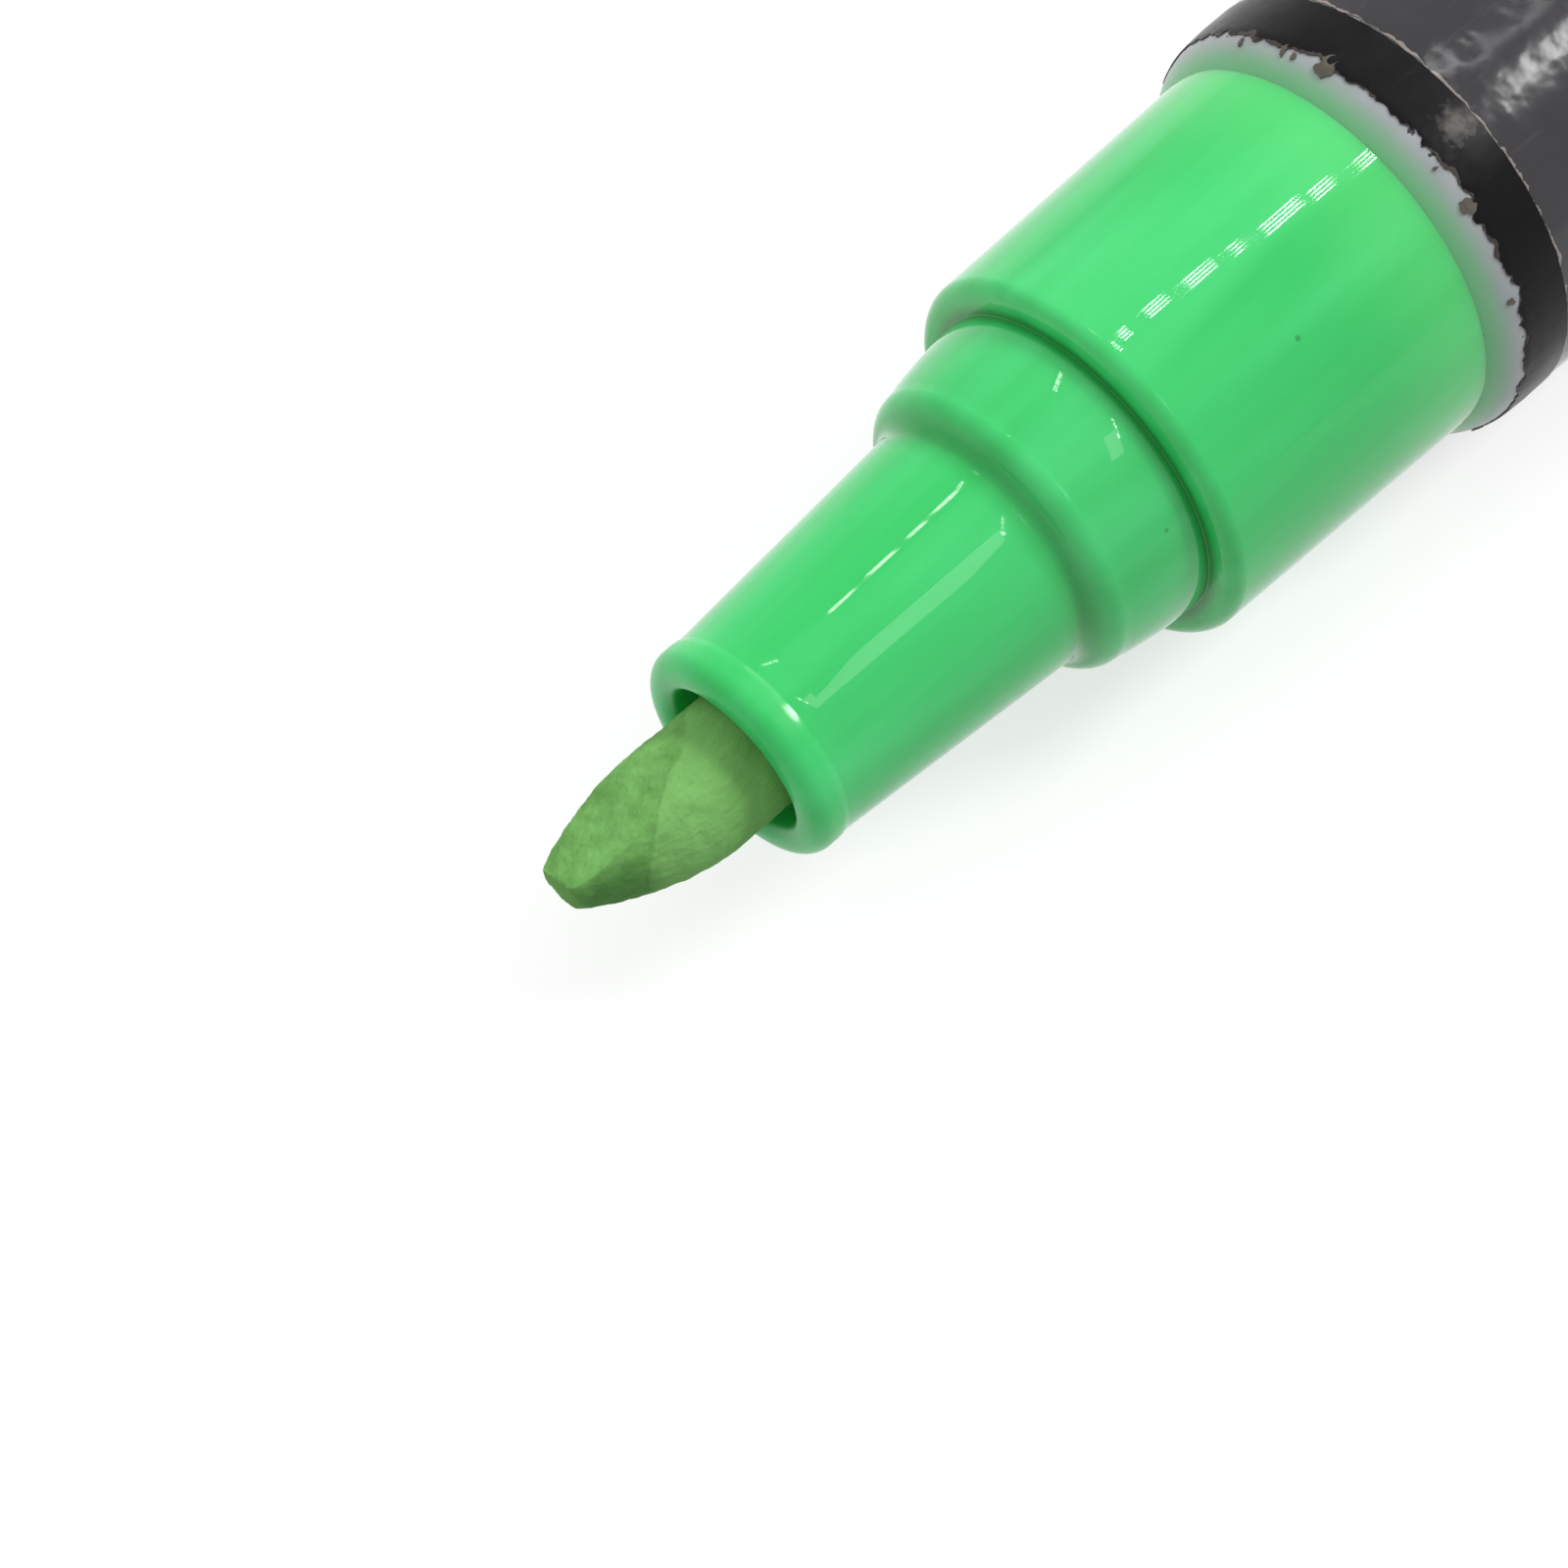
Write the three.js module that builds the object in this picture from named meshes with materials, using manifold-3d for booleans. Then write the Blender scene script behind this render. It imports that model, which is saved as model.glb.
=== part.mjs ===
import * as THREE from 'three';
import { mergeVertices } from 'three/addons/utils/BufferGeometryUtils.js';
import Module from 'manifold-3d';

// A fibre-tipped paint marker lying on its side, uncapped, with the cap pushed onto its tail.
// Sizes are in millimetres. The pieces are made round the X axis: x = 0 is the seam between
// nose and barrel, the nib points to -X and the tail to +X. The last lines set the pen down.

const wasm = await Module();
wasm.setup();

// How finely round shapes are cut: sides of a full turn, and steps along a rounded edge
const wideSides = 48;
const smallSides = 24;
const ballSides = 16;
const holeSides = 10;
const wireSides = 5;
const stepsPerCoil = 8;
const roundSteps = 4;
const rimSteps = 6;
const pointSteps = 8;
const beadSteps = 8;
const mouthSteps = 2;
const weldDistance = 1e-5;
const cutOverrun = 1; // how far a cutting shape runs past the faces that it opens

// Clearances
const pressGap = 0.05; // radial, between pieces pushed together for good
const slideGap = 0.09; // radial, where one piece slides in another
const seatGap = 0.05; // along the pen, where one piece stops against another
const tiltGap = 0.25; // round the tongue of the clip, which tilts a little

// Nib
const nibRadius = 2.1;
const nibLength = 25;
const nibReach = 6.5; // how far it stands out of the lip
const nibTipRadius = 0.84;
const nibTipRounding = 0.12;
const nibPoint = 4.9; // length of its rounded point
const nibFullness = 0.87; // below 1 the point is fuller than a sine curve
const nibBend = 0.5; // how far use has bent its tip to one side
const nibBendLength = 5.7; // the bent stretch, from the tip
const nibBendPower = 1.5; // above 1 the bend grows towards the tip
const nibBendTurn = 20; // degrees round the pen, from +Y up towards +Z
const nibRearChamfer = 0.5;
const nibTravel = 1.6; // how far it is pressed in to open the valve

// Nose, from the nib outwards: lip, cone, ring and body, each a step wider than the last
const holeGap = 0.51; // round the nib in the mouth of the nose
const holeRounding = 0.42;
const lipWall = 1.08;
const lipRounding = 0.6;
const coneLength = 10.96;
const coneTaper = 0.76;
const coneFillet = 0.6;
const ringStep = 0.87;
const ringLength = 3.89;
const ringTaper = 0.4;
const ringRounding = 0.78;
const ringFillet = 0.25;
const bodyStep = 1.06;
const bodyLength = 11.14;
const bodyTaper = 0.27;
const bodyRounding = 0.5;
const skirtLength = 8.5; // the part of the nose inside the barrel
const skirtWall = 1.25;
const throatCone = 1.6; // length of the slope from the wide rear bore to the nib's bore
const ribCount = 6;
const ribWidth = 0.9;
const ribSetback = 1.2; // from the lip's face to the front end of the ribs

// Barrel, a white tube that holds the paint
const rimHeight = 0.63; // step from the nose up to the barrel
const rimLength = 1.35; // length of the rounded front edge that makes this step
const barrelWall = 1.18;
const barrelLength = 90;
const tailRounding = 0.4;

// Two printed films round the barrel: a narrow dark band, then the long label
const filmGap = 0.02;
const filmThickness = 0.1;
const bandOverhang = 0.1; // the band begins this far before the end of the rounded edge
const bandLength = 1.75;
const filmSeam = 0.05;
const labelTailGap = 1.95; // bare barrel behind the label

// Valve
const nibStopGap = 0.89; // left between the nib, pressed right in, and the valve
const throatLead = 4.2; // room for paint ahead of the valve
const housingWall = 1.15;
const housingFrontWall = 1.2;
const housingFlange = 1.2;
const seatThickness = 1;
const seatHole = 1.9;
const stemRadius = 1.2;
const stemHeadRadius = 1.6;
const stemHeadLength = 0.8;
const stemGuide = 1.1; // how far the stem reaches into the cover at rest
const sealRadius = 3;
const sealBevel = 0.5;
const sealLength = 1.2;
const wireDiameter = 0.45;
const coilGap = 0.57; // between stem and spring
const coilCount = 6;
const springLength = 7.2;
const coverThickness = 1.5;
const coverHoleRadius = 0.6;
const coverHoleInset = 0.9; // from the rim of the cover to the middle of its holes
const coverHoleCount = 4;

// Mixing ball
const ballRadius = 2.75;
const ballPlace = 45; // from the seam
const ballGap = 0.02;

// Tail plug, with the stub that the cap is pushed onto
const stubSlack = 0.06; // the stub is this much slimmer than the nose
const stubGap = 0.9; // from the end of the stub to the cap's liner
const stubRounding = 0.5;
const plugWall = 1.3;
const plugSkirtLength = 8;
const plugEndWall = 1.4;

// Cap, and the soft liner that seals round the nose's ring
const capTipGap = 4.66; // from the nib's tip to the liner's end when the cap is on the nose
const capEndWall = 2;
const capShoulder = 0.9; // step from the socket in to the bore behind it
const capRounding = 1.1;
const capMouthRounding = 0.25;
const capStandOff = 0.2; // from the barrel's end to the mouth of the posted cap
const linerWall = 0.5;
const linerEndWall = 0.8;
const linerReach = 1.1; // how far the liner stands out of its bore into the socket
const linerOverlap = 2.1; // how far it closes over the ring when the cap is on the nose

// Clip, a springy arm whose tongue is held in a boss on the cap
const bossWidth = 6.4;
const bossHeight = 3.4;
const bossLength = 8;
const bossEndGap = 1; // from the boss to the closed end of the cap
const bossRounding = 0.8;
const clipWidth = 5;
const clipArmLength = 25;
const clipArmThickness = 1.3;
const clipFlush = 0.2; // the arm lies this far under the top of the boss
const clipBeadLength = 4;
const clipBeadGap = 0.3; // from the bead to the cap
const tongueWidth = 4.2;
const tongueThickness = 1.2;
const tongueLength = 4.2;
const tongueSink = 1.05; // from the top of the boss down to the tongue

// Radii, worked out from the nib outwards
const nibHole = nibRadius + holeGap;
const lipRadius = nibHole + lipWall;
const coneRootRadius = lipRadius + coneTaper;
const ringFrontRadius = coneRootRadius + ringStep;
const ringRearRadius = ringFrontRadius + ringTaper;
const bodyFrontRadius = ringRearRadius + bodyStep;
const bodyRadius = bodyFrontRadius + bodyTaper;
const barrelRadius = bodyRadius + rimHeight;
const filmInner = barrelRadius + filmGap;
const penRadius = filmInner + filmThickness;
const barrelBore = barrelRadius - barrelWall;
const skirtRadius = barrelBore - pressGap;
const throatRadius = skirtRadius - skirtWall;
const stubRadius = bodyRadius - stubSlack;
const capSocket = bodyRadius + slideGap;
const capBore = capSocket - capShoulder;

// Places along the pen, worked out from the seam
const ringRear = -bodyLength;
const ringFront = ringRear - ringLength;
const lipFace = ringFront - coneLength;
const nibTip = lipFace - nibReach;
const nibRear = nibTip + nibLength;
const housingFront = nibRear + nibTravel + nibStopGap;
const throatFront = housingFront - throatLead;
const bandStart = rimLength - bandOverhang;
const labelStart = bandStart + bandLength + filmSeam;
const tailEnd = barrelLength;
const linerMouth = -ringFront - linerOverlap; // from the mouth of the cap
const capSocketDepth = linerMouth + linerReach;
const stubLength = linerMouth - stubGap;
const capLength = capTipGap + linerEndWall + seatGap + capEndWall - nibTip;
const capMouth = tailEnd + capStandOff;
const capEnd = capMouth + capLength;

// Points along a circular arc in the (x, radius) plane, angles in degrees
function arc(x, r, radius, from, to, steps = roundSteps) {
  const points = [];
  for (let i = 0; i <= steps; i += 1) {
    const angle = THREE.MathUtils.degToRad(from + ((to - from) * i) / steps);
    points.push([x + radius * Math.cos(angle), r + radius * Math.sin(angle)]);
  }
  return points;
}

// A profile of [x, radius] points turned round the X axis. It runs along the outside
// towards +X and back along the inside, and it closes on itself or ends on the axis.
function turned(profile, sides = wideSides) {
  const points = profile.map(([x, r]) => new THREE.Vector2(r, x));
  const geometry = new THREE.LatheGeometry(points, sides);
  geometry.rotateZ(-Math.PI / 2);
  return geometry;
}

// The same for a hollow piece: the profile is closed here
function ring(profile, sides = wideSides) {
  return turned([...profile, profile[0]], sides);
}

// A flat outline of [y, z] points made solid from x = start to x = end
function prism(outline, start, end) {
  const shape = new THREE.Shape(outline.map(([y, z]) => new THREE.Vector2(y, z)));
  const geometry = new THREE.ExtrudeGeometry(shape, { depth: end - start, bevelEnabled: false, steps: 1 });
  geometry.applyMatrix4(new THREE.Matrix4().makeBasis(
    new THREE.Vector3(0, 1, 0),
    new THREE.Vector3(0, 0, 1),
    new THREE.Vector3(1, 0, 0),
  ));
  geometry.translate(start, 0, 0);
  return geometry;
}

// An outline of [x, z] points made solid across the pen, width wide and centred on y = 0
function slab(outline, width) {
  const shape = new THREE.Shape(outline.map(([x, z]) => new THREE.Vector2(x, z)));
  const geometry = new THREE.ExtrudeGeometry(shape, { depth: width, bevelEnabled: false, steps: 1 });
  geometry.translate(0, 0, -width / 2);
  geometry.rotateX(Math.PI / 2);
  return geometry;
}

// The corners of a regular polygon in the (y, z) plane
function circle(radius, sides, y = 0, z = 0) {
  const points = [];
  for (let i = 0; i < sides; i += 1) {
    const angle = (2 * Math.PI * i) / sides;
    points.push([y + radius * Math.cos(angle), z + radius * Math.sin(angle)]);
  }
  return points;
}

// Geometry to solid and back, for joining and cutting
function toSolid(geometry) {
  const bare = geometry.clone();
  bare.deleteAttribute('normal');
  bare.deleteAttribute('uv');
  const merged = mergeVertices(bare, weldDistance);
  const corners = merged.index.array;
  const kept = [];
  for (let i = 0; i < corners.length; i += 3) {
    const [a, b, c] = [corners[i], corners[i + 1], corners[i + 2]];
    if (a !== b && b !== c && c !== a) {
      kept.push(a, b, c);
    }
  }
  return new wasm.Manifold(new wasm.Mesh({
    numProp: 3,
    vertProperties: new Float32Array(merged.attributes.position.array),
    triVerts: new Uint32Array(kept),
  }));
}

function toGeometry(solid) {
  const mesh = solid.getMesh();
  const geometry = new THREE.BufferGeometry();
  geometry.setAttribute('position', new THREE.BufferAttribute(new Float32Array(mesh.vertProperties), 3));
  geometry.setIndex(new THREE.BufferAttribute(new Uint32Array(mesh.triVerts), 1));
  geometry.computeVertexNormals();
  return geometry;
}

function cut(body, ...tools) {
  return toGeometry(tools.reduce((solid, tool) => solid.subtract(toSolid(tool)), toSolid(body)));
}

function join(body, ...others) {
  return toGeometry(others.reduce((solid, other) => solid.add(toSolid(other)), toSolid(body)));
}

// Finishes
const finishes = {
  greenPlastic: { color: '#4fd97a', roughness: 0.25, metalness: 0 },
  nibFibre: { color: '#74b563', roughness: 0.9, metalness: 0 },
  whitePlastic: { color: '#c9cbd0', roughness: 0.35, metalness: 0 },
  darkFilm: { color: '#1e1c20', roughness: 0.35, metalness: 0 },
  labelFilm: { color: '#3c3840', roughness: 0.2, metalness: 0 },
  naturalPlastic: { color: '#e6e6e0', roughness: 0.45, metalness: 0 },
  sealRubber: { color: '#2a2a2a', roughness: 0.8, metalness: 0 },
  steel: { color: '#b8bcc0', roughness: 0.25, metalness: 1 },
};

const pen = new THREE.Group();
pen.name = 'marker';

function addPiece(name, geometry, finish) {
  const mesh = new THREE.Mesh(geometry, new THREE.MeshStandardMaterial(finishes[finish]));
  mesh.name = name;
  pen.add(mesh);
  return mesh;
}

// Nib: a rod of bonded fibres with a rounded point worn flat, its tip bent a little by use
function nib() {
  const point = [];
  for (let i = 0; i <= pointSteps; i += 1) {
    const along = i / pointSteps;
    const swell = Math.sin((along * Math.PI) / 2) ** nibFullness;
    point.push([
      nibTip + nibTipRounding + (nibPoint - nibTipRounding) * along,
      nibTipRadius + (nibRadius - nibTipRadius) * swell,
    ]);
  }
  const geometry = turned([
    [nibTip, 0],
    [nibTip, nibTipRadius - nibTipRounding],
    ...point,
    [nibRear - nibRearChamfer, nibRadius],
    [nibRear, nibRadius - nibRearChamfer],
    [nibRear, 0],
  ], smallSides);
  const bendStart = nibTip + nibBendLength;
  const turn = THREE.MathUtils.degToRad(nibBendTurn);
  const position = geometry.attributes.position;
  for (let i = 0; i < position.count; i += 1) {
    const ahead = Math.max(0, (bendStart - position.getX(i)) / nibBendLength);
    const shift = nibBend * ahead ** nibBendPower;
    position.setY(i, position.getY(i) + shift * Math.cos(turn));
    position.setZ(i, position.getZ(i) + shift * Math.sin(turn));
  }
  return geometry;
}

// Nose: one moulding with a rounded lip, a cone, a ring and a body, and a skirt in the barrel
function nose() {
  const shell = ring([
    ...arc(lipFace + holeRounding, nibHole + holeRounding, holeRounding, 270, 180),
    ...arc(lipFace + lipRounding, lipRadius - lipRounding, lipRounding, 180, 90),
    ...arc(ringFront - coneFillet, coneRootRadius + coneFillet, coneFillet, 270, 360),
    ...arc(ringFront + ringRounding, ringFrontRadius - ringRounding, ringRounding, 180, 90)
      .filter(([, r]) => r > coneRootRadius + coneFillet),
    ...arc(ringRear - ringFillet, ringRearRadius + ringFillet, ringFillet, 270, 360),
    ...arc(ringRear + bodyRounding, bodyFrontRadius - bodyRounding, bodyRounding, 180, 90),
    [-seatGap, bodyRadius],
    [-seatGap, skirtRadius],
    [skirtLength, skirtRadius],
    [skirtLength, throatRadius],
    [throatFront, throatRadius],
    [throatFront - throatCone, nibHole],
  ]);
  const ribs = [];
  for (let i = 0; i < ribCount; i += 1) {
    const inner = nibRadius + slideGap;
    const outer = nibHole + lipWall / 2;
    const rib = prism([
      [inner, -ribWidth / 2],
      [outer, -ribWidth / 2],
      [outer, ribWidth / 2],
      [inner, ribWidth / 2],
    ], lipFace + ribSetback, throatFront - throatCone);
    rib.rotateX((2 * Math.PI * (i + 0.5)) / ribCount);
    ribs.push(rib);
  }
  return join(shell, ...ribs);
}

// Valve housing: a cup held in the nose's skirt, its flange behind the skirt's end
const housingRadius = throatRadius - pressGap;
const housingBore = housingRadius - housingWall;
const housingRear = skirtLength + seatGap + housingFlange;

function valveHousing() {
  return ring([
    [housingFront, seatHole],
    [housingFront, housingRadius],
    [skirtLength + seatGap, housingRadius],
    [skirtLength + seatGap, skirtRadius],
    [housingRear, skirtRadius],
    [housingRear, housingBore],
    [housingFront + housingFrontWall, housingBore],
    [housingFront + housingFrontWall, seatHole],
  ]);
}

// Valve seat: a soft washer on the housing's front wall
const seatFront = housingFront + housingFrontWall + seatGap;
const seatRear = seatFront + seatThickness;

function valveSeat() {
  return ring([
    [seatFront, seatHole],
    [seatFront, housingBore - pressGap],
    [seatRear, housingBore - pressGap],
    [seatRear, seatHole],
  ], smallSides);
}

// Valve stem: the nib pushes its head, and its disc closes on the seat
const sealFront = seatRear + seatGap;
const sealRear = sealFront + sealLength;
const stemRear = sealRear + 2 * seatGap + springLength + stemGuide;

function valveStem() {
  const stemFront = nibRear + seatGap;
  return turned([
    [stemFront, 0],
    [stemFront, stemHeadRadius],
    [stemFront + stemHeadLength, stemHeadRadius],
    [stemFront + stemHeadLength, stemRadius],
    [sealFront, stemRadius],
    [sealFront, sealRadius - sealBevel],
    [sealFront + sealBevel, sealRadius],
    [sealRear, sealRadius],
    [sealRear, stemRadius],
    [stemRear, stemRadius],
    [stemRear, 0],
  ], smallSides);
}

// Valve spring: one helix tube of round wire between the disc and the cover
const springFront = sealRear + seatGap + wireDiameter / 2;
const springRear = springFront + springLength - wireDiameter;
const coilRadius = stemRadius + coilGap + wireDiameter / 2;
const coverFront = springRear + wireDiameter / 2 + seatGap;

class Helix extends THREE.Curve {
  getPoint(t, target = new THREE.Vector3()) {
    const angle = 2 * Math.PI * coilCount * t;
    return target.set(
      springFront + (springRear - springFront) * t,
      coilRadius * Math.cos(angle),
      coilRadius * Math.sin(angle),
    );
  }
}

function valveSpring() {
  const section = new THREE.Shape(circle(wireDiameter / 2, wireSides).map(([a, b]) => new THREE.Vector2(a, b)));
  const helix = new Helix();
  const steps = coilCount * stepsPerCoil;
  const geometry = new THREE.ExtrudeGeometry(section, { steps, extrudePath: helix, bevelEnabled: false });
  const centres = helix.getSpacedPoints(steps);
  let least = Infinity;
  for (let i = 0; i < centres.length; i += 1) {
    for (let j = i + stepsPerCoil / 2; j < centres.length; j += 1) {
      least = Math.min(least, centres[i].distanceTo(centres[j]) - wireDiameter);
    }
  }
  console.log(`least gap between the spring's turns: ${least.toFixed(2)} mm`);
  return geometry;
}

// Valve cover: a disc that holds the spring, guides the stem and lets the paint through
function valveCover() {
  const radius = housingBore - pressGap;
  const coverRear = coverFront + coverThickness;
  const disc = ring([
    [coverFront, stemRadius + slideGap],
    [coverFront, radius],
    [coverRear, radius],
    [coverRear, stemRadius + slideGap],
  ], smallSides);
  const holes = [];
  for (let i = 0; i < coverHoleCount; i += 1) {
    const angle = (2 * Math.PI * i) / coverHoleCount;
    const out = radius - coverHoleInset;
    const hole = circle(coverHoleRadius, holeSides, out * Math.cos(angle), out * Math.sin(angle));
    holes.push(prism(hole, coverFront - cutOverrun, coverRear + cutOverrun));
  }
  return cut(disc, ...holes);
}

// Barrel: its front edge rounds down to the nose in a quarter of an ellipse
function barrel() {
  const rim = arc(0, 0, 1, 180, 90, rimSteps).map(([a, b]) => [
    rimLength * (1 + a),
    bodyRadius + rimHeight * b,
  ]);
  return ring([
    [0, barrelBore],
    ...rim,
    ...arc(tailEnd - tailRounding, barrelRadius - tailRounding, tailRounding, 90, 0),
    [tailEnd, barrelBore],
  ]);
}

// A film is a thin sleeve round the barrel
function film(start, end) {
  return ring([
    [start, filmInner],
    [start, penRadius],
    [end, penRadius],
    [end, filmInner],
  ]);
}

// Mixing ball: lies on the lowest line of the barrel's bore
function mixingBall() {
  const geometry = new THREE.SphereGeometry(ballRadius, ballSides, ballSides / 2);
  geometry.translate(ballPlace, 0, -(barrelBore - ballRadius - ballGap));
  return geometry;
}

// Tail plug: a skirt in the barrel and a stub of the nose's size for the cap
function tailPlug() {
  const start = tailEnd - plugSkirtLength;
  const end = tailEnd + seatGap + stubLength;
  const plugBore = barrelBore - pressGap - plugWall;
  return turned([
    [end - plugEndWall, 0],
    [end - plugEndWall, plugBore],
    [start, plugBore],
    [start, barrelBore - pressGap],
    [tailEnd + seatGap, barrelBore - pressGap],
    [tailEnd + seatGap, stubRadius],
    ...arc(end - stubRounding, stubRadius - stubRounding, stubRounding, 90, 0),
    [end, 0],
  ]);
}

// A point on the cap, given how far it is from the mouth
const fromMouth = (distance) => capMouth + distance;

// The clip and its boss are made above the pen and turned round it together, until the
// lower corner of the boss stands on the same surface as the barrel
const bossTop = penRadius + bossHeight;
const cornerReach = Math.hypot(bossTop, bossWidth / 2);
const clipTurn = Math.PI - Math.acos(penRadius / cornerReach) - Math.atan2(bossWidth / 2, bossTop);
const bossRear = capLength - bossEndGap;
const bossFront = bossRear - bossLength;
const tongueTop = bossTop - tongueSink;
const tongueBottom = tongueTop - tongueThickness;

function onClipSide(geometry) {
  return geometry.rotateX(-clipTurn);
}

// Cap: a plain tube closed at its end, with the boss for the clip
function capShell() {
  const shell = turned([
    [capEnd - capEndWall, 0],
    [capEnd - capEndWall, capBore],
    [fromMouth(capSocketDepth), capBore],
    [fromMouth(capSocketDepth), capSocket],
    [capMouth, capSocket],
    ...arc(capMouth + capMouthRounding, penRadius - capMouthRounding, capMouthRounding, 180, 90, mouthSteps),
    ...arc(capEnd - capRounding, penRadius - capRounding, capRounding, 90, 0),
    [capEnd, 0],
  ]);
  const inWall = penRadius - (penRadius - capBore) / 2;
  const boss = onClipSide(slab([
    [fromMouth(bossFront), inWall],
    [fromMouth(bossRear), inWall],
    ...arc(fromMouth(bossRear) - bossRounding, bossTop - bossRounding, bossRounding, 0, 90),
    [fromMouth(bossFront), bossTop],
  ], bossWidth));
  const pocket = onClipSide(slab([
    [fromMouth(bossFront) - cutOverrun, tongueBottom - tiltGap],
    [fromMouth(bossFront) + tongueLength + tiltGap, tongueBottom - tiltGap],
    [fromMouth(bossFront) + tongueLength + tiltGap, tongueTop + tiltGap],
    [fromMouth(bossFront) - cutOverrun, tongueTop + tiltGap],
  ], tongueWidth + 2 * tiltGap));
  return cut(join(shell, boss), pocket);
}

// Cap liner: a soft cup whose mouth closes round the ring of the nose
function capLiner() {
  const outer = capBore - pressGap;
  const inner = outer - linerWall;
  const end = capEnd - capEndWall - seatGap;
  const mouth = fromMouth(linerMouth);
  return turned([
    [end - linerEndWall, 0],
    [end - linerEndWall, inner],
    [mouth, inner],
    [mouth, outer],
    [end, outer],
    [end, 0],
  ]);
}

// Clip: a flat arm with a rounded bead at its free end
function capClip() {
  const armRear = fromMouth(bossFront) - tiltGap;
  const armFront = armRear - clipArmLength;
  const armTop = bossTop - clipFlush;
  const armBottom = armTop - clipArmThickness;
  const beadBottom = penRadius + clipBeadGap;
  const beadCentre = armFront + clipBeadLength / 2;
  const bead = [];
  for (let i = 0; i <= beadSteps; i += 1) {
    const angle = (Math.PI * i) / beadSteps;
    bead.push([
      beadCentre - (clipBeadLength / 2) * Math.cos(angle),
      armBottom - (armBottom - beadBottom) * Math.sin(angle),
    ]);
  }
  const arm = slab([
    ...bead,
    [armRear, armBottom],
    [armRear, armTop],
    ...arc(armFront + clipArmThickness, armTop - clipArmThickness, clipArmThickness, 90, 180).slice(0, -1),
  ], clipWidth);
  const tongue = slab([
    [armRear - clipArmThickness, tongueBottom],
    [armRear + tiltGap + tongueLength, tongueBottom],
    [armRear + tiltGap + tongueLength, tongueTop],
    [armRear - clipArmThickness, tongueTop],
  ], tongueWidth);
  return onClipSide(join(arm, tongue));
}

addPiece('nib', nib(), 'nibFibre');
addPiece('nose_cone', nose(), 'greenPlastic');
addPiece('valve_housing', valveHousing(), 'naturalPlastic');
addPiece('valve_seat', valveSeat(), 'sealRubber');
addPiece('valve_stem', valveStem(), 'whitePlastic');
addPiece('valve_spring', valveSpring(), 'steel');
addPiece('valve_cover', valveCover(), 'naturalPlastic');
addPiece('barrel', barrel(), 'whitePlastic');
addPiece('band_film', film(bandStart, bandStart + bandLength), 'darkFilm');
addPiece('label_film', film(labelStart, tailEnd - labelTailGap), 'labelFilm');
addPiece('mixing_ball', mixingBall(), 'steel');
addPiece('tail_plug', tailPlug(), 'greenPlastic');
addPiece('cap_shell', capShell(), 'greenPlastic');
addPiece('cap_liner', capLiner(), 'naturalPlastic');
addPiece('cap_clip', capClip(), 'greenPlastic');

// The pen lies with the middle of its footprint at the origin
const extent = new THREE.Box3().setFromObject(pen);
const middle = extent.getCenter(new THREE.Vector3());
pen.position.set(-middle.x, -middle.y, -extent.min.z);

export default pen;
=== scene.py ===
# A fibre-tipped paint marker that lies uncapped, its cap pushed onto its tail.
import math
import random

import bmesh
import bpy
from mathutils import Matrix, Vector


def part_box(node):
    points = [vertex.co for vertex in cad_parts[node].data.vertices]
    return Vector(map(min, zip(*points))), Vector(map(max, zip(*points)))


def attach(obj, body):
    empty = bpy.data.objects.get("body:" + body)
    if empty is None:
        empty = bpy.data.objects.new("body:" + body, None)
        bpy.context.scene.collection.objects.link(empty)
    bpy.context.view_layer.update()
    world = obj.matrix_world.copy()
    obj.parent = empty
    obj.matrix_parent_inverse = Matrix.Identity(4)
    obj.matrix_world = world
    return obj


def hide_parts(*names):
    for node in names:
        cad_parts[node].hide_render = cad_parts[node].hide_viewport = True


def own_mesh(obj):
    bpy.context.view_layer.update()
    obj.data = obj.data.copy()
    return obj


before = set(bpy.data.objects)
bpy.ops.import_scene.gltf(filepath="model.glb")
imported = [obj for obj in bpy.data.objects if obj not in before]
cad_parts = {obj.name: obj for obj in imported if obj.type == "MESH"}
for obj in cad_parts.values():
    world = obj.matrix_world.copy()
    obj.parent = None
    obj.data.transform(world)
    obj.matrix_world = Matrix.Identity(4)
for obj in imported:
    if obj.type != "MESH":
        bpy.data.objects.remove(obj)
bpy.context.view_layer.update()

# The frame: sizes below are in millimetres, and places along the pen are measured from the
# seam between nose and barrel, with the tail on the plus side. The camera looks from nib to tail.
MM = 0.001
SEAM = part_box("barrel")[0].x
LABEL_LOW, LABEL_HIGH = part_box("label_film")
AXIS_Y = (LABEL_LOW.y + LABEL_HIGH.y) / 2
AXIS_Z = (LABEL_LOW.z + LABEL_HIGH.z) / 2
ALONG = Vector((1, 0, 0))


def outward(angle):
    """The direction out from the axis at an angle round the pen, from up towards +Y."""
    turn = math.radians(angle)
    return Vector((0, math.sin(turn), math.cos(turn)))


def sideways(angle):
    """The direction across the pen at an angle round it."""
    turn = math.radians(angle)
    return Vector((0, math.cos(turn), -math.sin(turn)))


def place(along, radius=0.0, angle=0.0):
    """A point of the row frame, from its place along the pen, its radius and its angle."""
    return Vector((SEAM + along * MM, AXIS_Y, AXIS_Z)) + outward(angle) * radius * MM


def reach(name):
    """Where a CAD node starts and ends along the pen."""
    low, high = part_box(name)
    return (low.x - SEAM) / MM, (high.x - SEAM) / MM


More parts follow.
